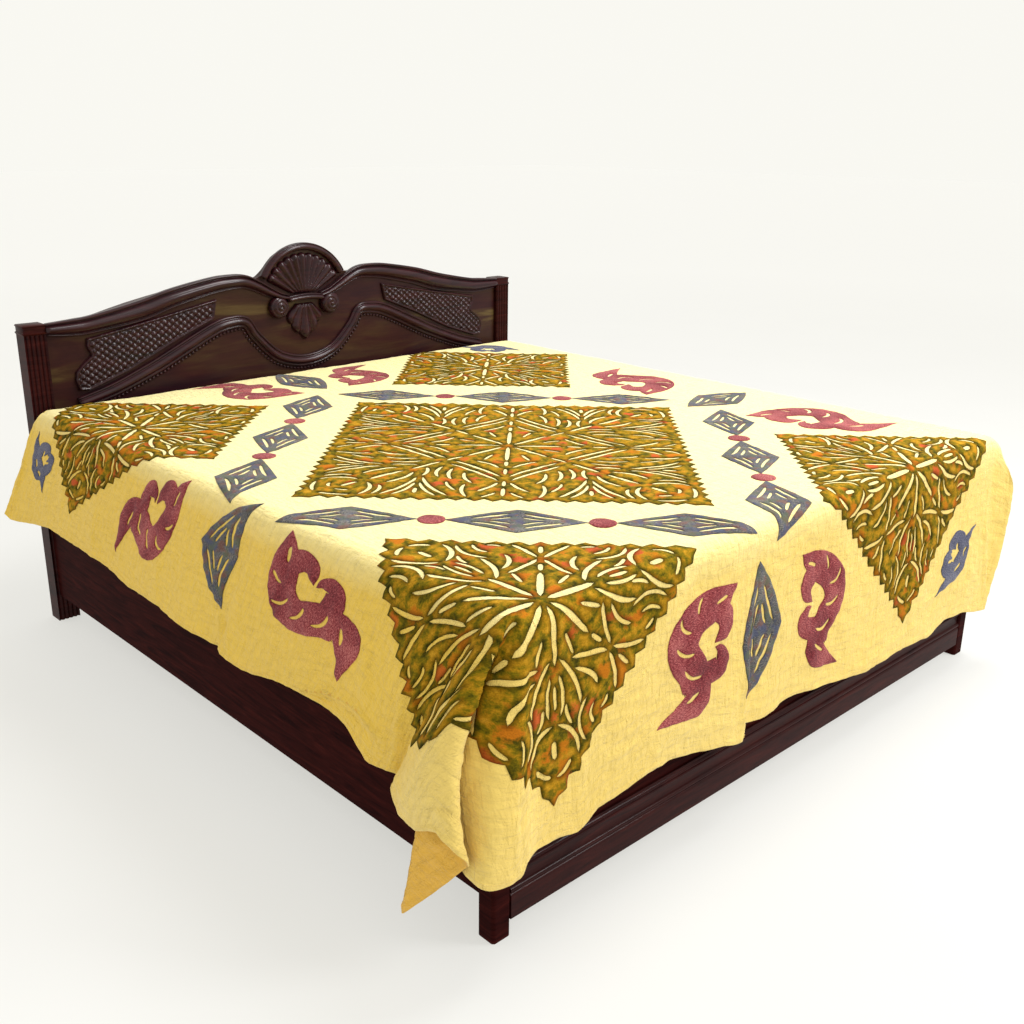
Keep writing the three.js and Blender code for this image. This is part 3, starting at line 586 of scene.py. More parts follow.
class Shader:
    """A material with a principled shader, and short calls to add its nodes."""

    def __init__(self, name, **sockets):
        self.material = bpy.data.materials.new(name)
        self.material.use_nodes = True
        self.tree = self.material.node_tree
        self.bsdf = self.tree.nodes["Principled BSDF"]
        for key, value in sockets.items():
            self.feed(self.bsdf.inputs[key.replace("_", " ")], value)

    def feed(self, socket, value):
        """Links a node's output to a socket, or sets the socket's own value."""
        if isinstance(value, bpy.types.NodeSocket):
            self.tree.links.new(value, socket)
        else:
            socket.default_value = value

    def add(self, kind, settings=None, **inputs):
        """A new node of that kind, with its settings and inputs."""
        node = self.tree.nodes.new("ShaderNode" + kind)
        for key, value in (settings or {}).items():
            setattr(node, key, value)
        for key, value in inputs.items():
            self.feed(node.inputs[key.replace("_", " ")], value)
        return node

    def attribute(self, name):
        """A value that each point of the mesh has."""
        return self.add("Attribute", {"attribute_name": name}).outputs["Fac"]

    def place(self, source, scale, turn=0.0):
        """Texture coordinates: "flat" for a cloth's own flat plan, or "Object", stretched and turned."""
        if source == "flat":
            start = self.add("UVMap", {"uv_map": "flat"}).outputs["UV"]
        else:
            start = self.add("TexCoord").outputs[source]
        return self.add("Mapping", Vector=start, Scale=scale, Rotation=(0, 0, turn)).outputs["Vector"]

    def noise(self, vector, scale, detail=3.0, roughness=0.5, distortion=0.0):
        """Noise at some coordinates."""
        node = self.add("TexNoise", Vector=vector, Scale=scale, Detail=detail, Roughness=roughness,
                        Distortion=distortion)
        return node.outputs["Fac"]

    def grain(self, source, scale, detail=3.0, roughness=0.5, distortion=0.0, turn=0.0):
        """Noise with its own scale along each axis."""
        return self.noise(self.place(source, scale, turn), 1.0, detail, roughness, distortion)

    def vary(self, value, noise, amount):
        """A value with some of a noise added, up or down."""
        return self.math("ADD", value, self.math("MULTIPLY", self.math("SUBTRACT", noise, 0.5), amount))

    def ramp(self, factor, *stops):
        """Colours or greys by factor: each stop is a position and an RGB colour."""
        node = self.add("ValToRGB", Fac=factor)
        elements = node.color_ramp.elements
        while len(elements) < len(stops):
            elements.new(0.5)
        for element, (position, colour) in zip(elements, stops):
            element.position = position
            element.color = (*colour, 1)
        return node.outputs["Color"]

    def mix(self, factor, first, second, blend="MIX"):
        """Two colours mixed. The numbers are the colour sockets of a mix node."""
        node = self.add("Mix", {"data_type": "RGBA", "blend_type": blend})
        for index, value in ((0, factor), (6, first), (7, second)):
            if isinstance(value, tuple):
                value = (*value, 1)
            self.feed(node.inputs[index], value)
        return node.outputs[2]

    def math(self, operation, first, second=0.0):
        """A sum or the like of two values."""
        node = self.add("Math", {"operation": operation})
        self.feed(node.inputs[0], first)
        self.feed(node.inputs[1], second)
        return node.outputs[0]

    def bump(self, height, distance, strength=1.0, normal=None):
        """A normal bent by a height, in metres, on top of another normal."""
        node = self.add("Bump", Height=height, Distance=distance, Strength=strength)
        if normal is not None:
            self.feed(node.inputs["Normal"], normal)
        return node.outputs["Normal"]

    def finish(self, colour, normal):
        """The material, once its colour and normal are fed to the shader."""
        self.feed(self.bsdf.inputs["Base Color"], colour)
        self.feed(self.bsdf.inputs["Normal"], normal)
        return self.material


def grey(value):
    """Colour of a plain grey."""
    return (value, value, value)


def srgb(red, green, blue):
    """Linear colour of an 8-bit display colour."""
    return tuple(((c / 255 + 0.055) / 1.055) ** 2.4 if c > 10 else c / 3294.6 for c in (red, green, blue))


def weave_normal(shader, crinkle):
    """Normal of a plain-woven cloth: threads both ways, slubs and small crinkles."""
    weft = shader.grain("flat", (70, 760, 1), 2)
    warp = shader.grain("flat", (760, 70, 1), 2)
    lengthwise = shader.grain("flat", (20, 64, 1), 5, 0.6, 0.6, turn=0.3)
    crosswise = shader.grain("flat", (70, 22, 1), 5, 0.6, 0.6, turn=0.25)
    normal = shader.bump(shader.math("ADD", lengthwise, crosswise), crinkle)
    return shader.bump(shader.math("ADD", weft, warp), 0.0004, 0.6, normal)


def make_cotton(name, lying, falling):
    """Plain cotton with slubs, painted paler where it lies on top in the light and deeper, as painted shade,
    where it hangs at the sides.
    """
    shader = Shader(name, Roughness=0.85, Specular_IOR_Level=0.2, Sheen_Weight=0.2, Sheen_Roughness=0.5)
    # The point value read here is painted shade: 0 on top and 1 on the hanging sides, made a little uneven at
    # random
    uneven = shader.vary(shader.attribute("painted_drop_shade"), shader.grain("flat", (3, 3, 1)), 0.3)
    base = shader.ramp(uneven, (0.05, lying), (0.95, falling))
    slub = shader.grain("flat", (30, 420, 1), 3, 0.6)
    shade = shader.ramp(slub, (0.3, grey(0.88)), (0.62, grey(1.0)))
    colour = shader.mix(0.7, base, shade, "MULTIPLY")
    return shader.finish(colour, weave_normal(shader, 0.0075))


def make_print():
    """Printed cotton: olive leaves over gold brown, with orange and rust blotches, and edges darkened partly
    by the print and partly by painted shade.
    """
    shader = Shader("olive_print", Roughness=0.9, Specular_IOR_Level=0.1)
    plan = shader.place("flat", (1, 1, 1))
    wobble = shader.add("TexNoise", Vector=plan, Scale=30.0, Detail=2.0).outputs["Color"]
    warped = shader.mix(0.009, plan, wobble)
    leaves = shader.noise(warped, 48.0, 5, 0.65)
    olive = shader.ramp(leaves, (0.33, srgb(70, 66, 6)), (0.45, srgb(122, 104, 10)),
                        (0.56, srgb(172, 126, 20)), (0.68, srgb(198, 148, 38)))
    cells = shader.add("TexVoronoi", Vector=warped, Scale=21.0, Randomness=0.9)
    tint = shader.add("SeparateColor", Color=cells.outputs["Color"]).outputs["Red"]
    spot = shader.math("SUBTRACT", 0.66, cells.outputs["Distance"])
    ragged = shader.vary(spot, leaves, 1.1)
    blotch = shader.math("MULTIPLY", shader.math("GREATER_THAN", tint, 0.26), ragged)
    mask = shader.ramp(blotch, (0.22, grey(0)), (0.4, grey(1)))
    orange = shader.ramp(tint, (0.4, srgb(184, 114, 16)), (0.72, srgb(192, 108, 22)),
                         (0.92, srgb(190, 86, 42)))
    colour = shader.mix(mask, olive, orange)
    speckle = shader.noise(plan, 420.0, 2)
    colour = shader.mix(0.75, colour, shader.ramp(speckle, (0.32, grey(0.6)), (0.6, grey(1.0))), "MULTIPLY")
    # Darker within a few millimetres of every edge and slit: partly the print, partly painted shade of the
    # turned edges
    edge_shade_and_print = shader.ramp(shader.attribute("inset"), (0.0, srgb(150, 156, 96)), (0.4, srgb(206, 206, 172)),
                            (0.85, grey(1.0)))
    colour = shader.mix(1.0, colour, edge_shade_and_print, "MULTIPLY")
    return shader.finish(colour, weave_normal(shader, 0.001))


def make_melange(name, dark, mid, pale, turn, stains=()):
    """Cotton of mixed yarns in short flecks of three shades, with soft patches of other colours."""
    shader = Shader(name, Roughness=0.92, Specular_IOR_Level=0.15, Sheen_Weight=0.1)
    flecks = shader.grain("flat", (160, 520, 1), 3, 0.7, turn=turn)
    blend = shader.vary(flecks, shader.grain("flat", (9, 9, 1), 2), 0.35)
    colour = shader.ramp(blend, (0.36, dark), (0.5, mid), (0.66, pale))
    for number, stain in enumerate(stains):
        patches = shader.grain("flat", (34, 34, 1), turn=0.4 + 1.3 * number)
        colour = shader.mix(shader.ramp(patches, (0.5, grey(0)), (0.6, grey(0.65))), colour, stain)
    return shader.finish(colour, weave_normal(shader, 0.001))


def make_wood(name, gloss, dark, mid, pale):
    """Stained mahogany in three shades: fine long grain under a clear coat of some gloss."""
    shader = Shader(name, Roughness=0.45, Specular_IOR_Level=0.4 * gloss, Coat_Weight=gloss,
                    Coat_Roughness=0.1)
    grain = shader.grain("Object", (6, 6, 60), 6, 0.6, 1.2)
    colour = shader.ramp(grain, (0.3, dark), (0.6, mid), (0.85, pale))
    pores = shader.grain("Object", (90, 90, 600))
    return shader.finish(colour, shader.bump(pores, 0.0003, 0.4))


def make_veneer():
    """Dark veneer with long wavy streaks of brown and olive under a clear coat."""
    shader = Shader("dark_veneer", Roughness=0.34, Specular_IOR_Level=0.12, Coat_Weight=0.06,
                    Coat_Roughness=0.1)
    streaks = shader.grain("Object", (1.6, 1.6, 9), 4, 0.55, 1.4)
    colour = shader.ramp(streaks, (0.3, srgb(34, 12, 20)), (0.46, srgb(48, 22, 21)),
                         (0.58, srgb(56, 36, 24)), (0.72, srgb(86, 70, 40)))
    grain = shader.grain("Object", (9, 9, 140), 5, 0.6, 0.6)
    colour = shader.mix(0.6, colour, shader.ramp(grain, (0.3, grey(0.6)), (0.65, grey(1.0))), "MULTIPLY")
    return shader.finish(colour, shader.bump(grain, 0.0002, 0.3))


def make_thread():
    """Pale yellow sewing thread."""
    shader = Shader("thread", Roughness=0.7)
    twist = shader.grain("Object", (900, 900, 900), 2)
    colour = shader.ramp(twist, (0.3, srgb(222, 190, 110)), (0.7, srgb(244, 222, 150)))
    return shader.finish(colour, shader.bump(twist, 0.0002))


def make_ticking():
    """Pale woven mattress cover with narrow stripes."""
    shader = Shader("ticking", Roughness=0.9, Sheen_Weight=0.1)
    threads = shader.grain("Object", (700, 700, 700), 2)
    stripe = shader.add("TexWave", {"bands_direction": "DIAGONAL"}, Scale=14.0, Distortion=0.0)
    shader.feed(stripe.inputs["Vector"], shader.place("Object", (1, 1, 0)))
    colour = shader.ramp(stripe.outputs["Fac"], (0.9, srgb(214, 208, 196)), (0.97, srgb(170, 174, 180)))
    return shader.finish(colour, shader.bump(threads, 0.0004, 0.6))


# Cotton colours: the paler one is the top in painted light, the deeper one the hanging sides in painted shade
COTTON = make_cotton("yellow_cotton", srgb(247, 232, 164), srgb(235, 196, 78))
# The wrong side is the same cotton, painted darker and more orange as painted shade under the cloth
SHADED_WRONG_SIDE = make_cotton("wrong_side_cotton_painted_shade", srgb(230, 186, 86), srgb(228, 176, 64))
PRINT = make_print()
RED = make_melange("red_melange", srgb(76, 18, 25), srgb(128, 42, 50), srgb(190, 112, 106), 0.7)
SLATE = make_melange("slate_melange", srgb(38, 38, 44), srgb(79, 78, 82), srgb(138, 132, 120), 0.5,
                     (srgb(112, 70, 56), srgb(62, 70, 98), srgb(80, 88, 66)))
BLUE = make_melange("blue_melange", srgb(44, 46, 68), srgb(80, 82, 104), srgb(126, 124, 132), 0.6)
RED_BROWN = (srgb(26, 6, 7), srgb(50, 16, 14), srgb(70, 26, 21))
WOOD = make_wood("dark_mahogany", 0.012, *RED_BROWN)
SATIN = make_wood("satin_mahogany", 0.1, *RED_BROWN)
CARVED = make_wood("polished_mahogany", 0.32, srgb(22, 5, 9), srgb(44, 12, 17), srgb(60, 21, 25))
VENEER = make_veneer()
TICKING = make_ticking()
THREAD = make_thread()


# Lines and outlines


def curve(rows, count):
    """Points on a smooth curve through a table's rows."""
    rows = np.asarray(rows, float)
    guides = np.vstack([2 * rows[0] - rows[1], rows, 2 * rows[-1] - rows[-2]])
    at = np.linspace(0, len(rows) - 1, count + 1)
    i = np.minimum(at.astype(int), len(rows) - 2)
    u = (at - i)[:, None]
    a, b, c, d = (guides[i + k] for k in range(4))
    return 0.5 * (2 * b + (c - a) * u + (2 * a - 5 * b + 4 * c - d) * u**2 + (3 * b - a - 3 * c + d) * u**3)


def sides_of(line):
    """Unit directions to the left of a flat line."""
    return unit(left_of(np.gradient(line[:, :2], axis=0)))


def mirrored(rows):
    """Table rows with x on the other side."""
    return [(-row[0], *row[1:]) for row in rows]


def turned(polygon, angle, centre=(0, 0)):
    """A polygon turned about its own origin and moved to a place."""
    c, s = math.cos(angle), math.sin(angle)
    return polygon @ np.array([[c, s], [-s, c]]) + np.asarray(centre)


def four_turns(polygon):
    """A polygon turned about its own origin by each quarter of a turn."""
    return [turned(polygon, quarter * TAU / 4) for quarter in range(4)]


def circle(radius, steps):
    """Points of a circle about the origin, anticlockwise."""
    turn = np.arange(steps) * TAU / steps
    return radius * np.column_stack([np.cos(turn), np.sin(turn)])


def rounded_rectangle(x0, x1, y0, y1, sizes):
    """Outline of a rectangle with the round corners that the sizes give, anticlockwise."""
    radius, steps = sizes["corner"], sizes["corner_steps"]
    corners = [(x1 - radius, y1 - radius), (x0 + radius, y1 - radius), (x0 + radius, y0 + radius),
               (x1 - radius, y0 + radius)]
    outline = []
    for quarter, (x, y) in enumerate(corners):
        for k in range(steps + 1):
            turn = (quarter + k / steps) * TAU / 4
            outline.append((x + radius * math.cos(turn), y + radius * math.sin(turn)))
    return np.array(outline)


def leaf(start, end, bend, width):
    """Outline of a pointed leaf or slit. bend is the share of its length by which it bows to the left."""
    start, end = np.asarray(start, float), np.asarray(end, float)
    along = end - start
    left = np.array([-along[1], along[0]])
    u = np.linspace(0, 1, LEAF_STEPS + 1)[:, None]
    spine = start + along * u + left * (4 * bend * u * (1 - u))
    slope = along + left * (4 * bend * (1 - 2 * u))
    side = unit(left_of(slope)) * (0.5 * width * np.sin(math.pi * u) ** LEAF_FULLNESS)
    return np.vstack([spine - side, (spine + side)[-2:0:-1]])


def ribbon(rows):
    """Outline of a ribbon through rows of x, y and width, anticlockwise."""
    line = curve(rows, RIBBON_STEPS)
    side = sides_of(line) * np.maximum(line[:, 2:], 0) / 2
    outline = np.vstack([line[:, :2] - side, (line[:, :2] + side)[-2:0:-1]])
    x, y = outline.T
    return outline if np.sum(x * np.roll(y, -1) - np.roll(x, -1) * y) > 0 else outline[::-1]


def spaced(polygon, distance):
    """Points along a polygon, no further apart than the distance."""
    points = []
    for start, end in zip(polygon, np.roll(polygon, -1, axis=0)):
        count = max(1, math.ceil(np.hypot(*(end - start)) / distance))
        points += [start + (end - start) * k / count for k in range(count)]
    return np.array(points)


def offset_points(polygon, distance):
    """Points beside a polygon's points, towards the left of its direction."""
    left = left_of(np.roll(polygon, -1, axis=0) - np.roll(polygon, 1, axis=0))
    return polygon + distance * left / np.maximum(np.linalg.norm(left, axis=1), 1e-9)[:, None]


def inside(polygon, points):
    """True for each point that lies in the polygon."""
    x, y = points[:, 0], points[:, 1]
    result = np.zeros(len(points), bool)
    for (x0, y0), (x1, y1) in zip(polygon, np.roll(polygon, -1, axis=0)):
        if y0 != y1:
            result ^= ((y0 > y) != (y1 > y)) & (x < (x1 - x0) * (y - y0) / (y1 - y0) + x0)
    return result


# Meshes


def make_piece(name, points, faces, material, flat=None):
    """A smooth mesh piece from row-frame points, riding with the bed. flat gives each point's flat plan."""
    mesh = bpy.data.meshes.new(name)
    mesh.from_pydata(np.asarray(points).tolist(), [], [list(map(int, face)) for face in faces])
    mesh.polygons.foreach_set("use_smooth", np.ones(len(mesh.polygons), bool))
    mesh.materials.append(material)
    if flat is not None:
        corner = np.empty(len(mesh.loops), np.int32)
        mesh.loops.foreach_get("vertex_index", corner)
        layer = mesh.uv_layers.new(name="flat")
        layer.data.foreach_set("uv", (np.asarray(flat) * MM)[corner].ravel())
    mesh.validate()
    mesh.update()
    piece = bpy.data.objects.new(name, mesh)
    bpy.context.scene.collection.objects.link(piece)
    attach(piece, "root")
    return piece


def set_values(piece, name, values):
    """Gives each point of a piece a value that its shader reads by name."""
    attribute = piece.data.attributes.new(name, "FLOAT", "POINT")
    attribute.data.foreach_set("value", values)


def nearest_tree(points):
    """Search tree over flat points."""
    tree = kdtree.KDTree(len(points))
    for number, (x, y) in enumerate(points):
        tree.insert((x, y, 0), number)
    tree.balance()
    return tree


def fill_points(outlines, slits, spacing):
    """Points inside the outlines and outside the slits: an uneven grid, and a row beside each edge."""
    low, high = np.vstack(outlines).min(axis=0), np.vstack(outlines).max(axis=0)
    columns, rows = (np.arange(low[k] + spacing / 2, high[k], spacing) for k in (0, 1))
    grid = np.column_stack(grid_of(columns, rows, "xy"))
    grid = grid + np.random.default_rng(GRID_SEED).uniform(-GRID_JITTER, GRID_JITTER, grid.shape) * spacing
    beside = [offset_points(outline, EDGE_ROW) for outline in outlines]
    beside += [offset_points(slit, -EDGE_ROW) for slit in slits]
    points = np.vstack([grid, *beside])
    kept = np.any([inside(outline, points) for outline in outlines], axis=0)
    for slit in slits:
        kept &= ~inside(slit, points)
    edges = nearest_tree(np.vstack(outlines + slits))
    return np.array([point for point in points[kept] if edges.find((*point, 0))[2] > EDGE_CLEARANCE])


def cut_plan(outlines, slits, spacing):
    """Flat points and triangles of cloth cut to the union of some outlines, less the slits."""
    outlines = [spaced(outline, spacing) for outline in outlines]
    slits = [spaced(slit, spacing) for slit in slits]
    cuts = outlines + slits
    fill = fill_points(outlines, slits, spacing)
    counts = np.cumsum([0] + [len(cut) for cut in cuts])
    rings = [list(range(first, last)) for first, last in zip(counts[:-1], counts[1:])]
    given = [Vector(point) for point in np.vstack([*cuts, fill])]
    inside_only, tolerance = 1, 0.01
    found, _, triangles, _, _, sources = geometry.delaunay_2d_cdt(given, [], rings, inside_only, tolerance)
    cloth = set(range(len(outlines)))
    kept = np.array([face for face, source in zip(triangles, sources) if source and set(source) <= cloth])
    plan = np.array([(point.x, point.y) for point in found])
    used, kept = np.unique(kept, return_inverse=True)
    return plan[used], kept.reshape(-1, 3)


def border_edges(triangles):
    """Edges that belong to one triangle only, in that triangle's direction."""
    edges = np.vstack([triangles[:, [0, 1]], triangles[:, [1, 2]], triangles[:, [2, 0]]])
    known = {(int(a), int(b)) for a, b in edges}
    return np.array([edge for edge in known if edge[::-1] not in known])


def edge_distance(plan, border):
    """Distance of each flat point from the nearest border edge."""
    shares = np.array([0, 0.25, 0.5, 0.75])[:, None, None]
    on_border = plan[border[:, 0]] + shares * (plan[border[:, 1]] - plan[border[:, 0]])
    edges = nearest_tree(on_border.reshape(-1, 2))
    distance = np.array([edges.find((*point, 0))[2] for point in plan])
    distance[np.unique(border)] = 0
    return distance


def sheet_faces(triangles, border, count):
    """Faces of a closed sheet: its front, its back with the points count further on, and walls."""
    a, b = border.T
    walls = np.column_stack([a, a + count, b + count, b])
    return [*triangles.tolist(), *(triangles[:, ::-1] + count).tolist(), *walls.tolist()]


def loft(rings):
    """Points and faces of a solid through rings of equal length, closed at both ends."""
    wide = len(rings[0])
    faces = [list(range(wide))[::-1], [(len(rings) - 1) * wide + k for k in range(wide)]]
    for low in range(0, (len(rings) - 1) * wide, wide):
        for k in range(wide):
            after = (k + 1) % wide
            faces.append((low + k, low + after, low + wide + after, low + wide + k))
    return np.vstack(rings), faces


def at_height(outline, z):
    """Points of a flat outline at a height."""
    return np.column_stack([outline, np.full(len(outline), float(z))])


# Bedspread


def grid_lines(bands):
    """Grid lines over bands of (from, to, spacing), with more along both hems."""
    first, last = bands[0][0], bands[-1][1]
    hem_lines = np.array([0, 2, HEM_WIDTH - 2, HEM_WIDTH, HEM_WIDTH + 4])
    inner = [np.linspace(low, high, round((high - low) / spacing) + 1) for low, high, spacing in bands]
    lines = np.unique(np.concatenate([first + hem_lines, last - hem_lines, *inner]))
    apart = np.concatenate([[True], np.diff(lines) > CLOSEST_LINES])
    apart[-1] = True
    return lines[apart]


def make_bedspread():
    """The ground cloth as a closed thin sheet, thicker along its turned hem, with its wrong side below,
    painted darker as shade.
    """
    columns, rows = grid_lines(COLUMN_BANDS), grid_lines(ROW_BANDS)
    p, q = grid_of(columns, rows)
    inset = np.minimum.reduce([p - CLOTH["left"], CLOTH["right"] - p, q - CLOTH["foot"], CLOTH["head"] - q])
    in_hem = (inset >= 1) & (inset <= HEM_WIDTH - 1)
    thick = np.where(in_hem, HEM_HALF_THICKNESS, CLOTH_HALF_THICKNESS)
    points = np.vstack([lay(p, q, thick), lay(p, q, -thick)])
    along, layer = len(rows), len(p)
    number = np.arange(layer).reshape(len(columns), along)
    corner = number[:-1, :-1].ravel()
    upper = np.column_stack([corner, corner + along, corner + along + 1, corner + 1])
    lower = upper[:, ::-1] + layer
    loop = np.concatenate([number[:, 0], number[-1, 1:], number[-2::-1, -1], number[0, -2:0:-1]])
    after = np.roll(loop, -1)
    walls = np.column_stack([loop, loop + layer, after + layer, after])
    flat = np.tile(np.column_stack([p, q]), (2, 1))
    piece = make_piece("bedspread_cloth", points, np.vstack([upper, lower, walls]), COTTON, flat)
    piece.data.materials.append(SHADED_WRONG_SIDE)
    materials = np.repeat([0, 1, 0], [len(upper), len(lower), len(walls)])
    piece.data.polygons.foreach_set("material_index", materials)
    # Painted shade on the cloth: full where it hangs at the sides, less on the foot drop, which gets more
    # light
    over_foot = np.clip((RIM["foot"] - q) / FREE_DROP, 0, 1)
    set_values(piece, "painted_drop_shade", np.tile(hanging(p, q) * (1 - FOOT_PAINTED_LIGHT * over_foot), 2))
    return piece


def make_applique(name, outlines, slits, material, spacing):
    """Cloth cut to some outlines, with slits, sewn on the bedspread and puffed up between its edges."""
    plan, triangles = cut_plan(outlines, slits, spacing)
    border = border_edges(triangles)
    inset = edge_distance(plan, border)
    top = APPLIQUE_LOW + APPLIQUE_EDGE + APPLIQUE_PUFF * (1 - np.exp(-inset / APPLIQUE_SOFTNESS))
    p, q = plan.T
    points = np.vstack([lay(p, q, top), lay(p, q, np.full(len(p), APPLIQUE_LOW))])
    faces = sheet_faces(triangles, border, len(plan))
    piece = make_piece(name, points, faces, material, np.tile(plan, (2, 1)))
    set_values(piece, "inset", np.tile(np.clip(inset / EDGE_SHADE, 0, 1), 2))
    return piece


def toothed_square(half_side, teeth):
    """Square with saw teeth cut along its four sides, shallower at its corners, anticlockwise."""
    side = []
    for k in range(teeth):
        along = -half_side + 2 * half_side * k / teeth
        from_corner = min(k, teeth - 1 - k) + FIRST_TOOTH
        deep = TOOTH_DEPTH * min(1, from_corner / FULL_TOOTH)
        side += [(along, -half_side), (along + half_side / teeth, -half_side + deep)]
    return np.vstack(four_turns(np.array(side)))


def folded_cuts(rows):
    """Slits cut through cloth folded in eight: each row is repeated in every fold."""
    cuts = []
    for u0, v0, u1, v1, bend, width in rows:
        middle = np.array([u0 + u1, v0 + v1]) / 2
        reach = np.array([u1 - u0, v1 - v0]) / 2 * SLIT_LENGTHENING
        slit = leaf(middle - reach, middle + reach, bend, width * SLIT_WIDENING)
        on_fold = bend == 0 and ((v0 == 0 and v1 == 0) or (u0 == v0 and u1 == v1))
        copies = [slit] if on_fold else [slit, (slit * (1, -1))[::-1]]
        for copy in copies:
            cuts += four_turns(copy)
    return cuts


def make_squares():
    """The five toothed squares of cutwork."""
    places = [("centre", (0, 0), 1, CENTRE_HALF_SIDE, CENTRE_TEETH, CENTRE_CUTS)]
    for end, end_sign in (("foot", -1), ("head", 1)):
        for side, side_sign in SIDES:
            offset, stretch = np.array(CORNER_OFFSET) * (side_sign, end_sign), 1
            if (end, side) == ("foot", "left"):
                offset, stretch = offset + NEAR_SHIFT, NEAR_STRETCH
            places.append((f"{end}_{side}", offset, stretch, CORNER_HALF_SIDE, CORNER_TEETH, CORNER_CUTS))
    pieces = []
    for label, offset, stretch, half_side, teeth, cuts in places:
        shapes = [toothed_square(half_side, teeth), *folded_cuts(cuts)]
        outline, *slits = (turned(shape * (1, stretch), TAU / 8, MIDDLE + offset) for shape in shapes)
        spacing = SPACING["square"] if stretch == 1 else SPACING["near_square"]
        piece = make_applique(f"cutwork_{label}", [outline], slits, PRINT, spacing)
        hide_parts(f"applique_{label}")
        pieces.append(piece)
    return pieces


def diamond(length, width, lean, bow):
    """Long diamond with bowed sides, its length along x, and its slits. lean bends it sideways."""
    tips = [(length / 2, 0), (0, width / 2), (-length / 2, 0), (0, -width / 2)]
    outline = []
    for start, end in zip(tips, tips[1:] + tips[:1]):
        start, along = np.array(start), np.array(end) - np.array(start)
        outward = np.array([along[1], -along[0]])
        outline += [start + along * u + outward * (4 * bow * u * (1 - u)) for u in (0, 0.25, 0.5, 0.75)]
    outline = np.array(outline)
    slits = []
    for far, near, low, high, wide in DIAMOND_SLITS:
        for x_sign in (-1, 1):
            for y_sign in (-1, 1):
                corner = np.array([x_sign * length, y_sign * width])
                bend = DIAMOND_SLIT_BEND * x_sign * y_sign
                slits.append(leaf(corner * (far, low), corner * (near, high), bend, wide))
    for shape in (outline, *slits):
        shape[:, 1] += lean * (1 - (2 * shape[:, 0] / length) ** 2)
    return outline, slits


def make_diamonds():
    """Four rows of diamonds and dots between the squares, and one diamond in the middle of each side."""
    diamonds, dots = [], []
    for quarter, (distance, shift) in enumerate(DIAMOND_ROWS):
        turn = TAU / 8 + quarter * TAU / 4
        out, row = np.array([math.cos(turn), math.sin(turn)]), np.array([-math.sin(turn), math.cos(turn)])
        for place in (-1, 0, 1):
            centre = out * distance + row * (shift + place * ROW_PITCH)
            diamonds.append((*ROW_DIAMOND, 0, ROW_BOW, turn + TAU / 4, centre))
        for place in (-0.5, 0.5):
            centre = out * distance + row * (shift + place * ROW_PITCH)
            dots.append(circle(DOT_RADIUS, DOT_STEPS) + MIDDLE + centre)
    for quarter, (x, y, lean, length) in enumerate(SIDE_DIAMONDS):
        diamonds.append((length, SIDE_DIAMOND_WIDTH, lean, SIDE_BOW, quarter * TAU / 4, (x, y)))
    pieces = []
    for number, (length, width, lean, bow, angle, offset) in enumerate(diamonds):
        outline, slits = diamond(length, width, lean, bow)
        shape, *cuts = (turned(polygon, angle, MIDDLE + offset) for polygon in (outline, *slits))
        pieces.append(make_applique(f"diamond_{number + 1:02d}", [shape], cuts, SLATE, SPACING["diamond"]))
    for number, shape in enumerate(dots):
        pieces.append(make_applique(f"dot_{number + 1}", [shape], [], RED, SPACING["diamond"]))
    return pieces


def handed(polygon, hand):
    """The polygon, or its mirror image, always anticlockwise."""
    return polygon if hand > 0 else (polygon * (-1, 1))[::-1]


def make_motif(name, ribbons, slits, places, material):
    """Copies of a motif cut from some ribbons. A place has its offset, angle, hand and two scales."""
    ribbons = [ribbon(rows) for rows in ribbons]
    slits = [leaf((x0, y0), (x1, y1), bend, MOTIF_SLIT_WIDTH) for x0, y0, x1, y1, bend in slits]
    pieces = []
    for number, (x, y, angle, hand, *scale) in enumerate(places):
        turn, centre = math.radians(angle), MIDDLE + (x, y)
        shape, cuts = ([turned(handed(polygon, hand) * scale, turn, centre) for polygon in polygons]
                       for polygons in (ribbons, slits))
        pieces.append(make_applique(f"{name}_{number + 1}", shape, cuts, material, SPACING["motif"]))
    return pieces


def make_motifs():
    """The red curled leaves and the blue corner flowers."""
    return (make_motif("curled_leaf", CURLED_LEAF, CURLED_LEAF_SLITS, CURLED_LEAVES, RED)
            + make_motif("corner_flower", CORNER_FLOWER, CORNER_FLOWER_SLITS, CORNER_FLOWERS, BLUE))


def make_stitches():
    """Running stitches along the hem, as one mesh of small bars."""
    centres, alongs = [], []
    corners = [(CLOTH["left"], CLOTH["foot"]), (CLOTH["right"], CLOTH["foot"]),
               (CLOTH["right"], CLOTH["head"]), (CLOTH["left"], CLOTH["head"])]
    for start, end in zip(corners, corners[1:] + corners[:1]):
        start, end = np.array(start, float), np.array(end, float)
        length = np.hypot(*(end - start))
        along = (end - start) / length
        inward = np.array([-along[1], along[0]])
        for run in np.arange(STITCH_INSET, length - STITCH_INSET, STITCH_PITCH):
            centres.append(start + along * run + inward * STITCH_INSET)
            alongs.append(along)
    centres, alongs = np.array(centres), np.array(alongs)
    inwards = left_of(alongs)
    spots = []
    for half_length, half_width, height in STITCH_RINGS:
        for a, b in ((-1, -1), (1, -1), (1, 1), (-1, 1)):
            spot = centres + alongs * a * half_length + inwards * b * half_width
            spots.append(lay(spot[:, 0], spot[:, 1], np.full(len(spot), height)))
    points = np.stack(spots, axis=1).reshape(-1, 3)
    bar = [(4, 5, 6, 7), (3, 2, 1, 0)] + [(k, (k + 1) % 4, (k + 1) % 4 + 4, k + 4) for k in range(4)]
    faces = [[v + 8 * number for v in face] for number in range(len(centres)) for face in bar]
    return make_piece("hem_stitches", points, faces, THREAD)


# Bed


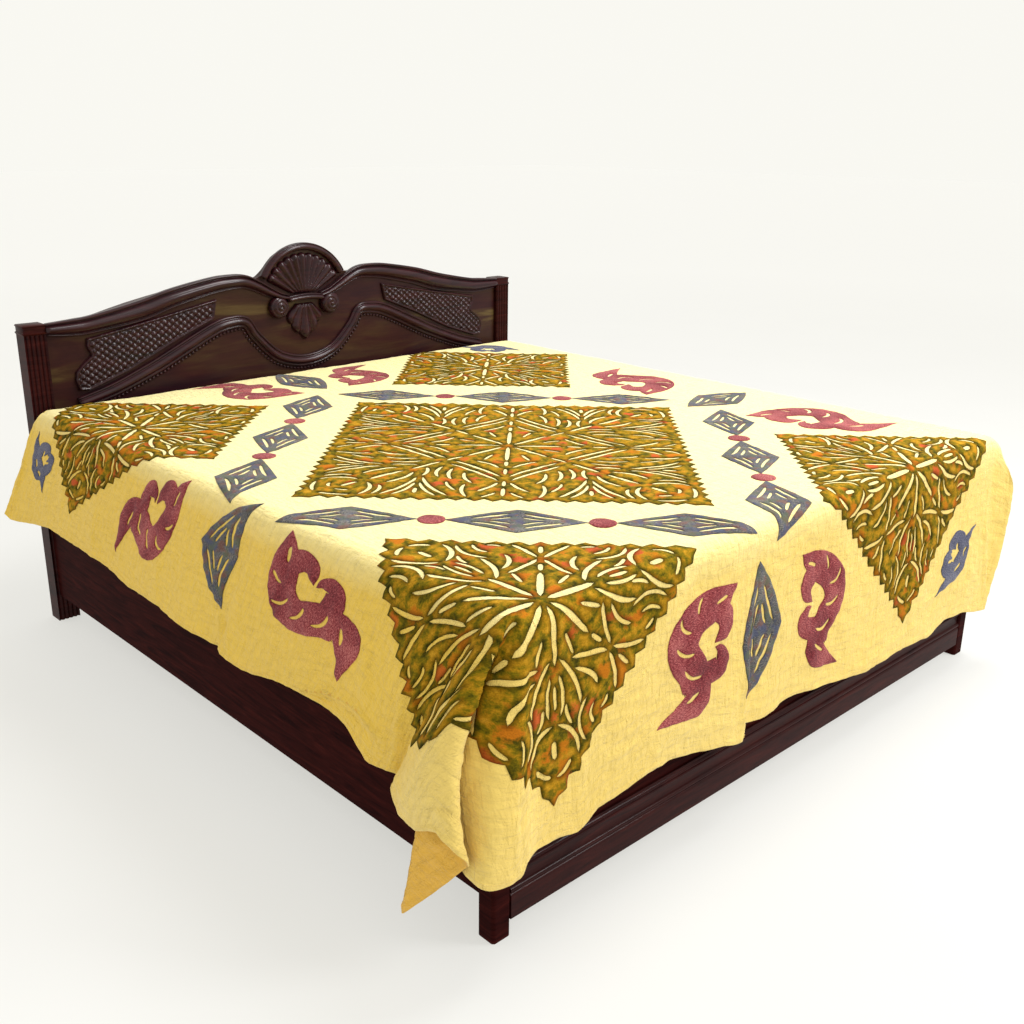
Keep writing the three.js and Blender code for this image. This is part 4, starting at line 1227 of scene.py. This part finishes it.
def make_wood_piece(name, node, points, faces, material=CARVED):
    """A wooden piece from points of the bed's own frame, facing outwards, in place of a node."""
    piece = make_piece(name, to_row(points), faces, material)
    mesh = piece.data
    mesh.calc_loop_triangles()
    corners = np.array([[mesh.vertices[v].co for v in triangle.vertices] for triangle in mesh.loop_triangles])
    corners = corners - corners.mean(axis=(0, 1))
    if np.einsum("ij,ij->", corners[:, 0], np.cross(corners[:, 1], corners[:, 2])) < 0:
        mesh.flip_normals()
    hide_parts(node)
    return piece


def sharpen(piece, angle=40):
    """Keeps edges sharper than the angle hard in smooth shading."""
    piece.data.set_sharp_from_angle(angle=math.radians(angle))


def upper_sides(line):
    """Unit directions across a line of x and z, to its upper side."""
    side = sides_of(line)
    return -side if side[0, 1] < 0 else side


def make_moulding(name, node, line, profile):
    """Carved moulding on the headboard: a profile drawn along a line of x, z and width."""
    share, out = np.array(profile).T
    spot = line[:, None, :2] + upper_sides(line)[:, None, :] * (line[:, 2:] * share)[:, :, None]
    depth = np.broadcast_to(PANEL_FRONT - out, spot.shape[:2])
    make_wood_piece(name, node, *loft(np.stack([spot[:, :, 0], depth, spot[:, :, 1]], axis=2)))


def make_carving(name, node, outline, out, spacing):
    """Carved relief on the headboard. out gives its height at x, z and a distance from its edge."""
    plan, triangles = cut_plan([np.asarray(outline, float)], [], spacing)
    border = border_edges(triangles)
    x, z = plan.T
    front = np.column_stack([x, PANEL_FRONT - out(x, z, edge_distance(plan, border)), z])
    back = np.column_stack([x, np.full(len(x), PANEL_FRONT), z])
    make_wood_piece(name, node, np.vstack([front, back]), sheet_faces(triangles, border, len(plan)))


def lattice_height(x, z, inset):
    """Small rounded studs in diagonal rows inside a raised lip."""
    across, pitch = LATTICE["lean"] * x, LATTICE["pitch"]
    rising, falling = (np.sin(math.pi * place / pitch) for place in (across + z, across - z))
    half_lip = LATTICE["lip"] / 2
    lip = LATTICE["lip"] * np.sqrt(np.clip(1 - ((inset - half_lip) / half_lip) ** 2, 0, 1))
    fade = np.clip((inset - LATTICE["lip"]) / LATTICE["fade"], 0, 1)
    studs = LATTICE["stud"] * np.sqrt(np.abs(rising * falling)) * fade
    return LATTICE["base"] + np.where(inset < LATTICE["lip"], lip, studs)


def fan_outline(fan):
    """Fan with rounded rib ends, anticlockwise, from its collar."""
    angle = np.linspace(1, -1, fan["ribs"] * FAN["rib_steps"] + 1)
    rounded = np.abs(np.sin(math.pi * fan["ribs"] * (angle + 1) / 2))
    reach = fan["reach"] * (1 - fan["taper"] * np.abs(angle) ** 0.9) - FAN["rib_end"] * (1 - np.sqrt(rounded))
    turn = np.radians(fan["spread"]) * angle
    x, z = reach * np.sin(turn), fan["z"] + fan["sign"] * reach * np.cos(turn)
    collar = fan["z"] + fan["sign"] * fan["collar"] * math.cos(math.radians(fan["spread"]))
    inner = fan["collar"] * math.sin(math.radians(fan["spread"]))
    points = [*zip(x, z), (-inner, collar), (inner, collar)]
    return points[::fan["sign"]]


def fan_height(fan):
    """Height of a fan of rounded ribs that swells from its collar and turns in at its edge."""
    def height(x, z, inset):
        out = fan["sign"] * (z - fan["z"])
        turn = np.arctan2(x, out) / math.radians(fan["spread"])
        ribs = np.abs(np.sin(math.pi * fan["ribs"] * (turn + 1) / 2)) ** 0.8
        reach = np.hypot(x, out) / fan["reach"]
        edge = np.sqrt(np.clip(inset / FAN["edge"], 0, 1))
        swell = (FAN["rise"] + FAN["swell"] * reach) * (FAN["groove"] + (1 - FAN["groove"]) * ribs)
        return FAN["base"] + edge * swell + FAN["knob"] * np.clip(0.5 - reach, 0, 1)
    return height


def volute_height(centre_x, hand):
    """Height of a scroll: a dome with a spiral groove."""
    def height(x, z, inset):
        radius = np.hypot(x - centre_x, z - VOLUTE["z"])
        turn = np.arctan2(z - VOLUTE["z"], hand * (x - centre_x)) / TAU
        dome = np.sqrt(np.clip(1 - (radius / (VOLUTE["radius"] * 1.05)) ** 2, 0, 1))
        spiral = np.sqrt(np.abs(np.sin(math.pi * (radius / VOLUTE["pitch"] - turn))))
        base, groove = VOLUTE["base"], VOLUTE["groove"]
        edge = np.clip(inset / VOLUTE["edge"], 0, 1)
        return base + (VOLUTE["out"] - base - groove) * dome + groove * spiral * edge
    return height


def make_beads(name, node, line):
    """Row of half-round beads along a line of x and z, as one mesh."""
    steps = np.hypot(*np.diff(line, axis=0).T)
    run = np.concatenate([[0], np.cumsum(steps)])
    at = np.arange(BEAD["pitch"] / 2, run[-1], BEAD["pitch"])
    x, z = (np.interp(at, run, line[:, k]) for k in (0, 1))
    rings, around = BEAD["rings"], BEAD["around"]
    dome = [(0.0, 0.0, 1.0)]
    for ring in range(1, rings + 1):
        tilt = ring * TAU / 4 / rings
        dome += [(*spot, math.cos(tilt)) for spot in circle(math.sin(tilt), around)]
    dome = np.array(dome) * BEAD["radius"]
    faces = [(0, 1 + k, 1 + (k + 1) % around) for k in range(around)]
    for low in range(1, 1 + (rings - 1) * around, around):
        for k in range(around):
            after = (k + 1) % around
            faces.append((low + k, low + around + k, low + around + after, low + after))
    faces.append([1 + (rings - 1) * around + k for k in range(around)][::-1])
    across, up, out = dome.T
    points = [np.column_stack([across + a, PANEL_FRONT - out, up + b]) for a, b in zip(x, z)]
    every = [[v + number * len(dome) for v in face] for number in range(len(points)) for face in faces]
    make_wood_piece(name, node, np.vstack(points), every)


def make_headboard():
    """Mouldings, studded panels, shell, pendant and scrolls of the headboard."""
    for label, sign in SIDES[::-1]:
        turn = list if sign > 0 else mirrored
        line = curve(turn(CORNICE), CORNICE_STEPS)
        make_moulding(f"cornice_{label}_roll", f"cornice_{label}", line, CORNICE_PROFILE)
        outline = spaced(np.array(turn(LATTICE_OUTLINE))[::-sign], LATTICE["edge_step"])
        make_carving(f"lattice_{label}", f"lattice_panel_{label}", outline, lattice_height,
                     SPACING["lattice"])
        middle = sign * VOLUTE["x"]
        outline = circle(VOLUTE["radius"], VOLUTE["steps"]) + (middle, VOLUTE["z"])
        height = volute_height(middle, sign)
        make_carving(f"scroll_{label}", f"volute_{label}", outline, height, SPACING["volute"])
    lower = curve(LOWER_MOULDING + mirrored(LOWER_MOULDING)[-2::-1], LOWER_STEPS)
    make_moulding("lower_moulding_roll", "lower_moulding", lower, LOWER_PROFILE)
    below = lower[:, 2:] / 2 + BEAD["radius"] + BEAD["gap"]
    make_beads("lower_moulding_beads", "lower_moulding", lower[:, :2] - upper_sides(lower) * below)
    make_carving("shell_ribs", "shell_crest", fan_outline(SHELL), fan_height(SHELL), SPACING["fan"])
    radius, width = SHELL_RIM["radius"], float(SHELL_RIM["width"])
    arc = np.radians(np.linspace(SHELL_RIM["spread"], -SHELL_RIM["spread"], SHELL_RIM["points"]))
    x, z = radius * np.sin(arc), SHELL_RIM["z"] + radius * np.cos(arc)
    rim = np.column_stack([x, z, np.full(len(arc), width)])
    make_moulding("shell_rim", "shell_crest", rim, RIM_PROFILE)
    make_carving("pendant_ribs", "shell_pendant", fan_outline(PENDANT), fan_height(PENDANT), SPACING["fan"])
    across = np.linspace(COLLAR["half_length"], -COLLAR["half_length"], COLLAR["points"])
    collar = np.array([(x, COLLAR["z"] - COLLAR["bow"] * x * x, COLLAR["width"]) for x in across])
    make_moulding("shell_collar", "shell_crest", collar, [(a, b * COLLAR["out"]) for a, b in RIM_PROFILE])


def make_posts():
    """Head posts with reeds down their fronts and a small capital."""
    inner, outer, front, back = (POST[key] for key in ("inner", "outer", "front", "back"))
    steps = POST["reed_steps"]
    reeds = []
    for reed in range(POST["reeds"]):
        for k in range(steps + 1):
            across = inner + POST["margin"] + (reed + k / steps) * POST["reed_width"]
            reeds.append((across, front + POST["reed_depth"] * (1 - math.sin(math.pi * k / steps)) + 1))
    outline = np.array([(inner, back), (inner, front), *reeds, (outer, front), (outer, back)])
    for label, sign in SIDES:
        node = f"head_post_{label}"
        shaft = loft([at_height(outline * (sign, 1), z) for z in (0, POST["neck"])])
        sharpen(make_wood_piece(f"{node}_shaft", node, *shaft, SATIN))
        rings = []
        for z, grow in POST_CAPITAL:
            ring = rounded_rectangle(inner - grow, outer + grow, front - grow, back + grow, POST)
            rings.append(at_height(ring * (sign, 1), z))
        sharpen(make_wood_piece(f"{node}_capital", node, *loft(rings), SATIN))


def make_foot_moulding():
    """Long moulding of the foot rail: a plain band, a bead, a recess and two small beads."""
    ends = (-FOOT_RAIL["half_length"], FOOT_RAIL["half_length"])
    rings = [[(x, FOOT_RAIL["front"] - out, z) for z, out in FOOT_PROFILE] for x in ends]
    sharpen(make_wood_piece("foot_moulding_run", "foot_moulding", *loft(rings), SATIN))


def make_mattress():
    """Padded mattress with a round edge and two lines of piping."""
    rings = []
    for inset, z in MATTRESS_PROFILE:
        x, foot, head = MATTRESS["half_width"] - inset, MATTRESS["foot"] + inset, MATTRESS["head"] - inset
        rings.append(at_height(rounded_rectangle(-x, x, foot, head, MATTRESS), z))
    points, faces = loft(rings)
    mattress = make_piece("mattress_body", to_row(points), faces, TICKING)
    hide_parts("mattress")


def finish_frame():
    """Finish of the plain wooden nodes: slightly rounded edges and stained wood."""
    for name, node in cad_nodes.items():
        if node.hide_render:
            continue
        node.data.materials.clear()
        node.data.materials.append(VENEER if name == "headboard_panel" else WOOD)
        weld = node.modifiers.new("weld", "WELD")
        weld.merge_threshold = 0.00001
        edges = node.modifiers.new("edges", "BEVEL")
        edges.width = 0.0025
        edges.segments = 2
        edges.limit_method = "ANGLE"
        edges.angle_limit = math.radians(30)


# Stage


def add_object(name, data):
    """A new object of the scene."""
    holder = bpy.data.objects.new(name, data)
    bpy.context.scene.collection.objects.link(holder)
    return holder


def make_floor():
    """Pale floor that brightens away from the bed, in a pale room, with a painted glow of its own that
    lightens the shadows cast on it.
    """
    bpy.ops.mesh.primitive_plane_add(size=FLOOR["size"], location=(0, 0, FLOOR["z"]))
    floor = bpy.context.object
    floor.name = "floor"
    glow = FLOOR["glow"]
    shader = Shader("pale_floor", Roughness=0.9, Emission_Color=(*WORLD_COLOUR, 1), Emission_Strength=glow)
    tone = shader.grain("Object", (2, 2, 2), 2)
    darker, paler = FLOOR["near"]
    near = shader.ramp(tone, (0.3, grey(darker)), (0.7, grey(paler)))
    ball = shader.add("TexGradient", {"gradient_type": "SPHERICAL"})
    shader.feed(ball.inputs["Vector"], shader.place("Object", (0.08, 0.08, 0.08)))
    away = shader.ramp(ball.outputs["Fac"], (0.2, grey(1.0)), (0.8, grey(0.0)))
    colour = shader.mix(away, near, grey(FLOOR["away"] - glow))
    floor.data.materials.append(shader.finish(colour, shader.bump(tone, 0.0002)))
    world = bpy.data.worlds.new("studio")
    world.use_nodes = True
    background = world.node_tree.nodes["Background"]
    background.inputs["Color"].default_value = (*WORLD_COLOUR, 1)
    background.inputs["Strength"].default_value = WORLD_STRENGTH
    bpy.context.scene.world = world


def make_lights():
    """Soft square lights, each turned to its target."""
    for name, place, target, size, power in LIGHTS:
        lamp = bpy.data.lights.new(name, "AREA")
        lamp.size = size
        lamp.energy = power
        holder = add_object(name, lamp)
        holder.location = place
        holder.rotation_euler = (Vector(target) - Vector(place)).to_track_quat("-Z", "Y").to_euler()


def make_camera():
    """Camera at the photograph's viewing angle."""
    camera = bpy.data.cameras.new("camera")
    camera.lens = CAMERA_LENS
    camera.sensor_width = CAMERA_SENSOR
    holder = add_object("camera", camera)
    turn = Matrix.Rotation(-CAMERA_YAW, 3, "Z") @ Matrix.Rotation(TAU / 4 - CAMERA_PITCH, 3, "X")
    turn = turn @ Matrix.Rotation(CAMERA_ROLL, 3, "Z")
    holder.matrix_world = Matrix.Translation(Vector(to_row(CAMERA_PLACE))) @ turn.to_4x4()
    bpy.context.scene.camera = holder
    bpy.context.scene.view_settings.view_transform = "Standard"


make_headboard()
make_posts()
make_foot_moulding()
make_mattress()
bedspread = make_bedspread()
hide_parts("bedspread")
sewn_on = make_squares() + make_diamonds() + make_motifs() + [make_stitches()]
finish_frame()
make_floor()
make_lights()
make_camera()
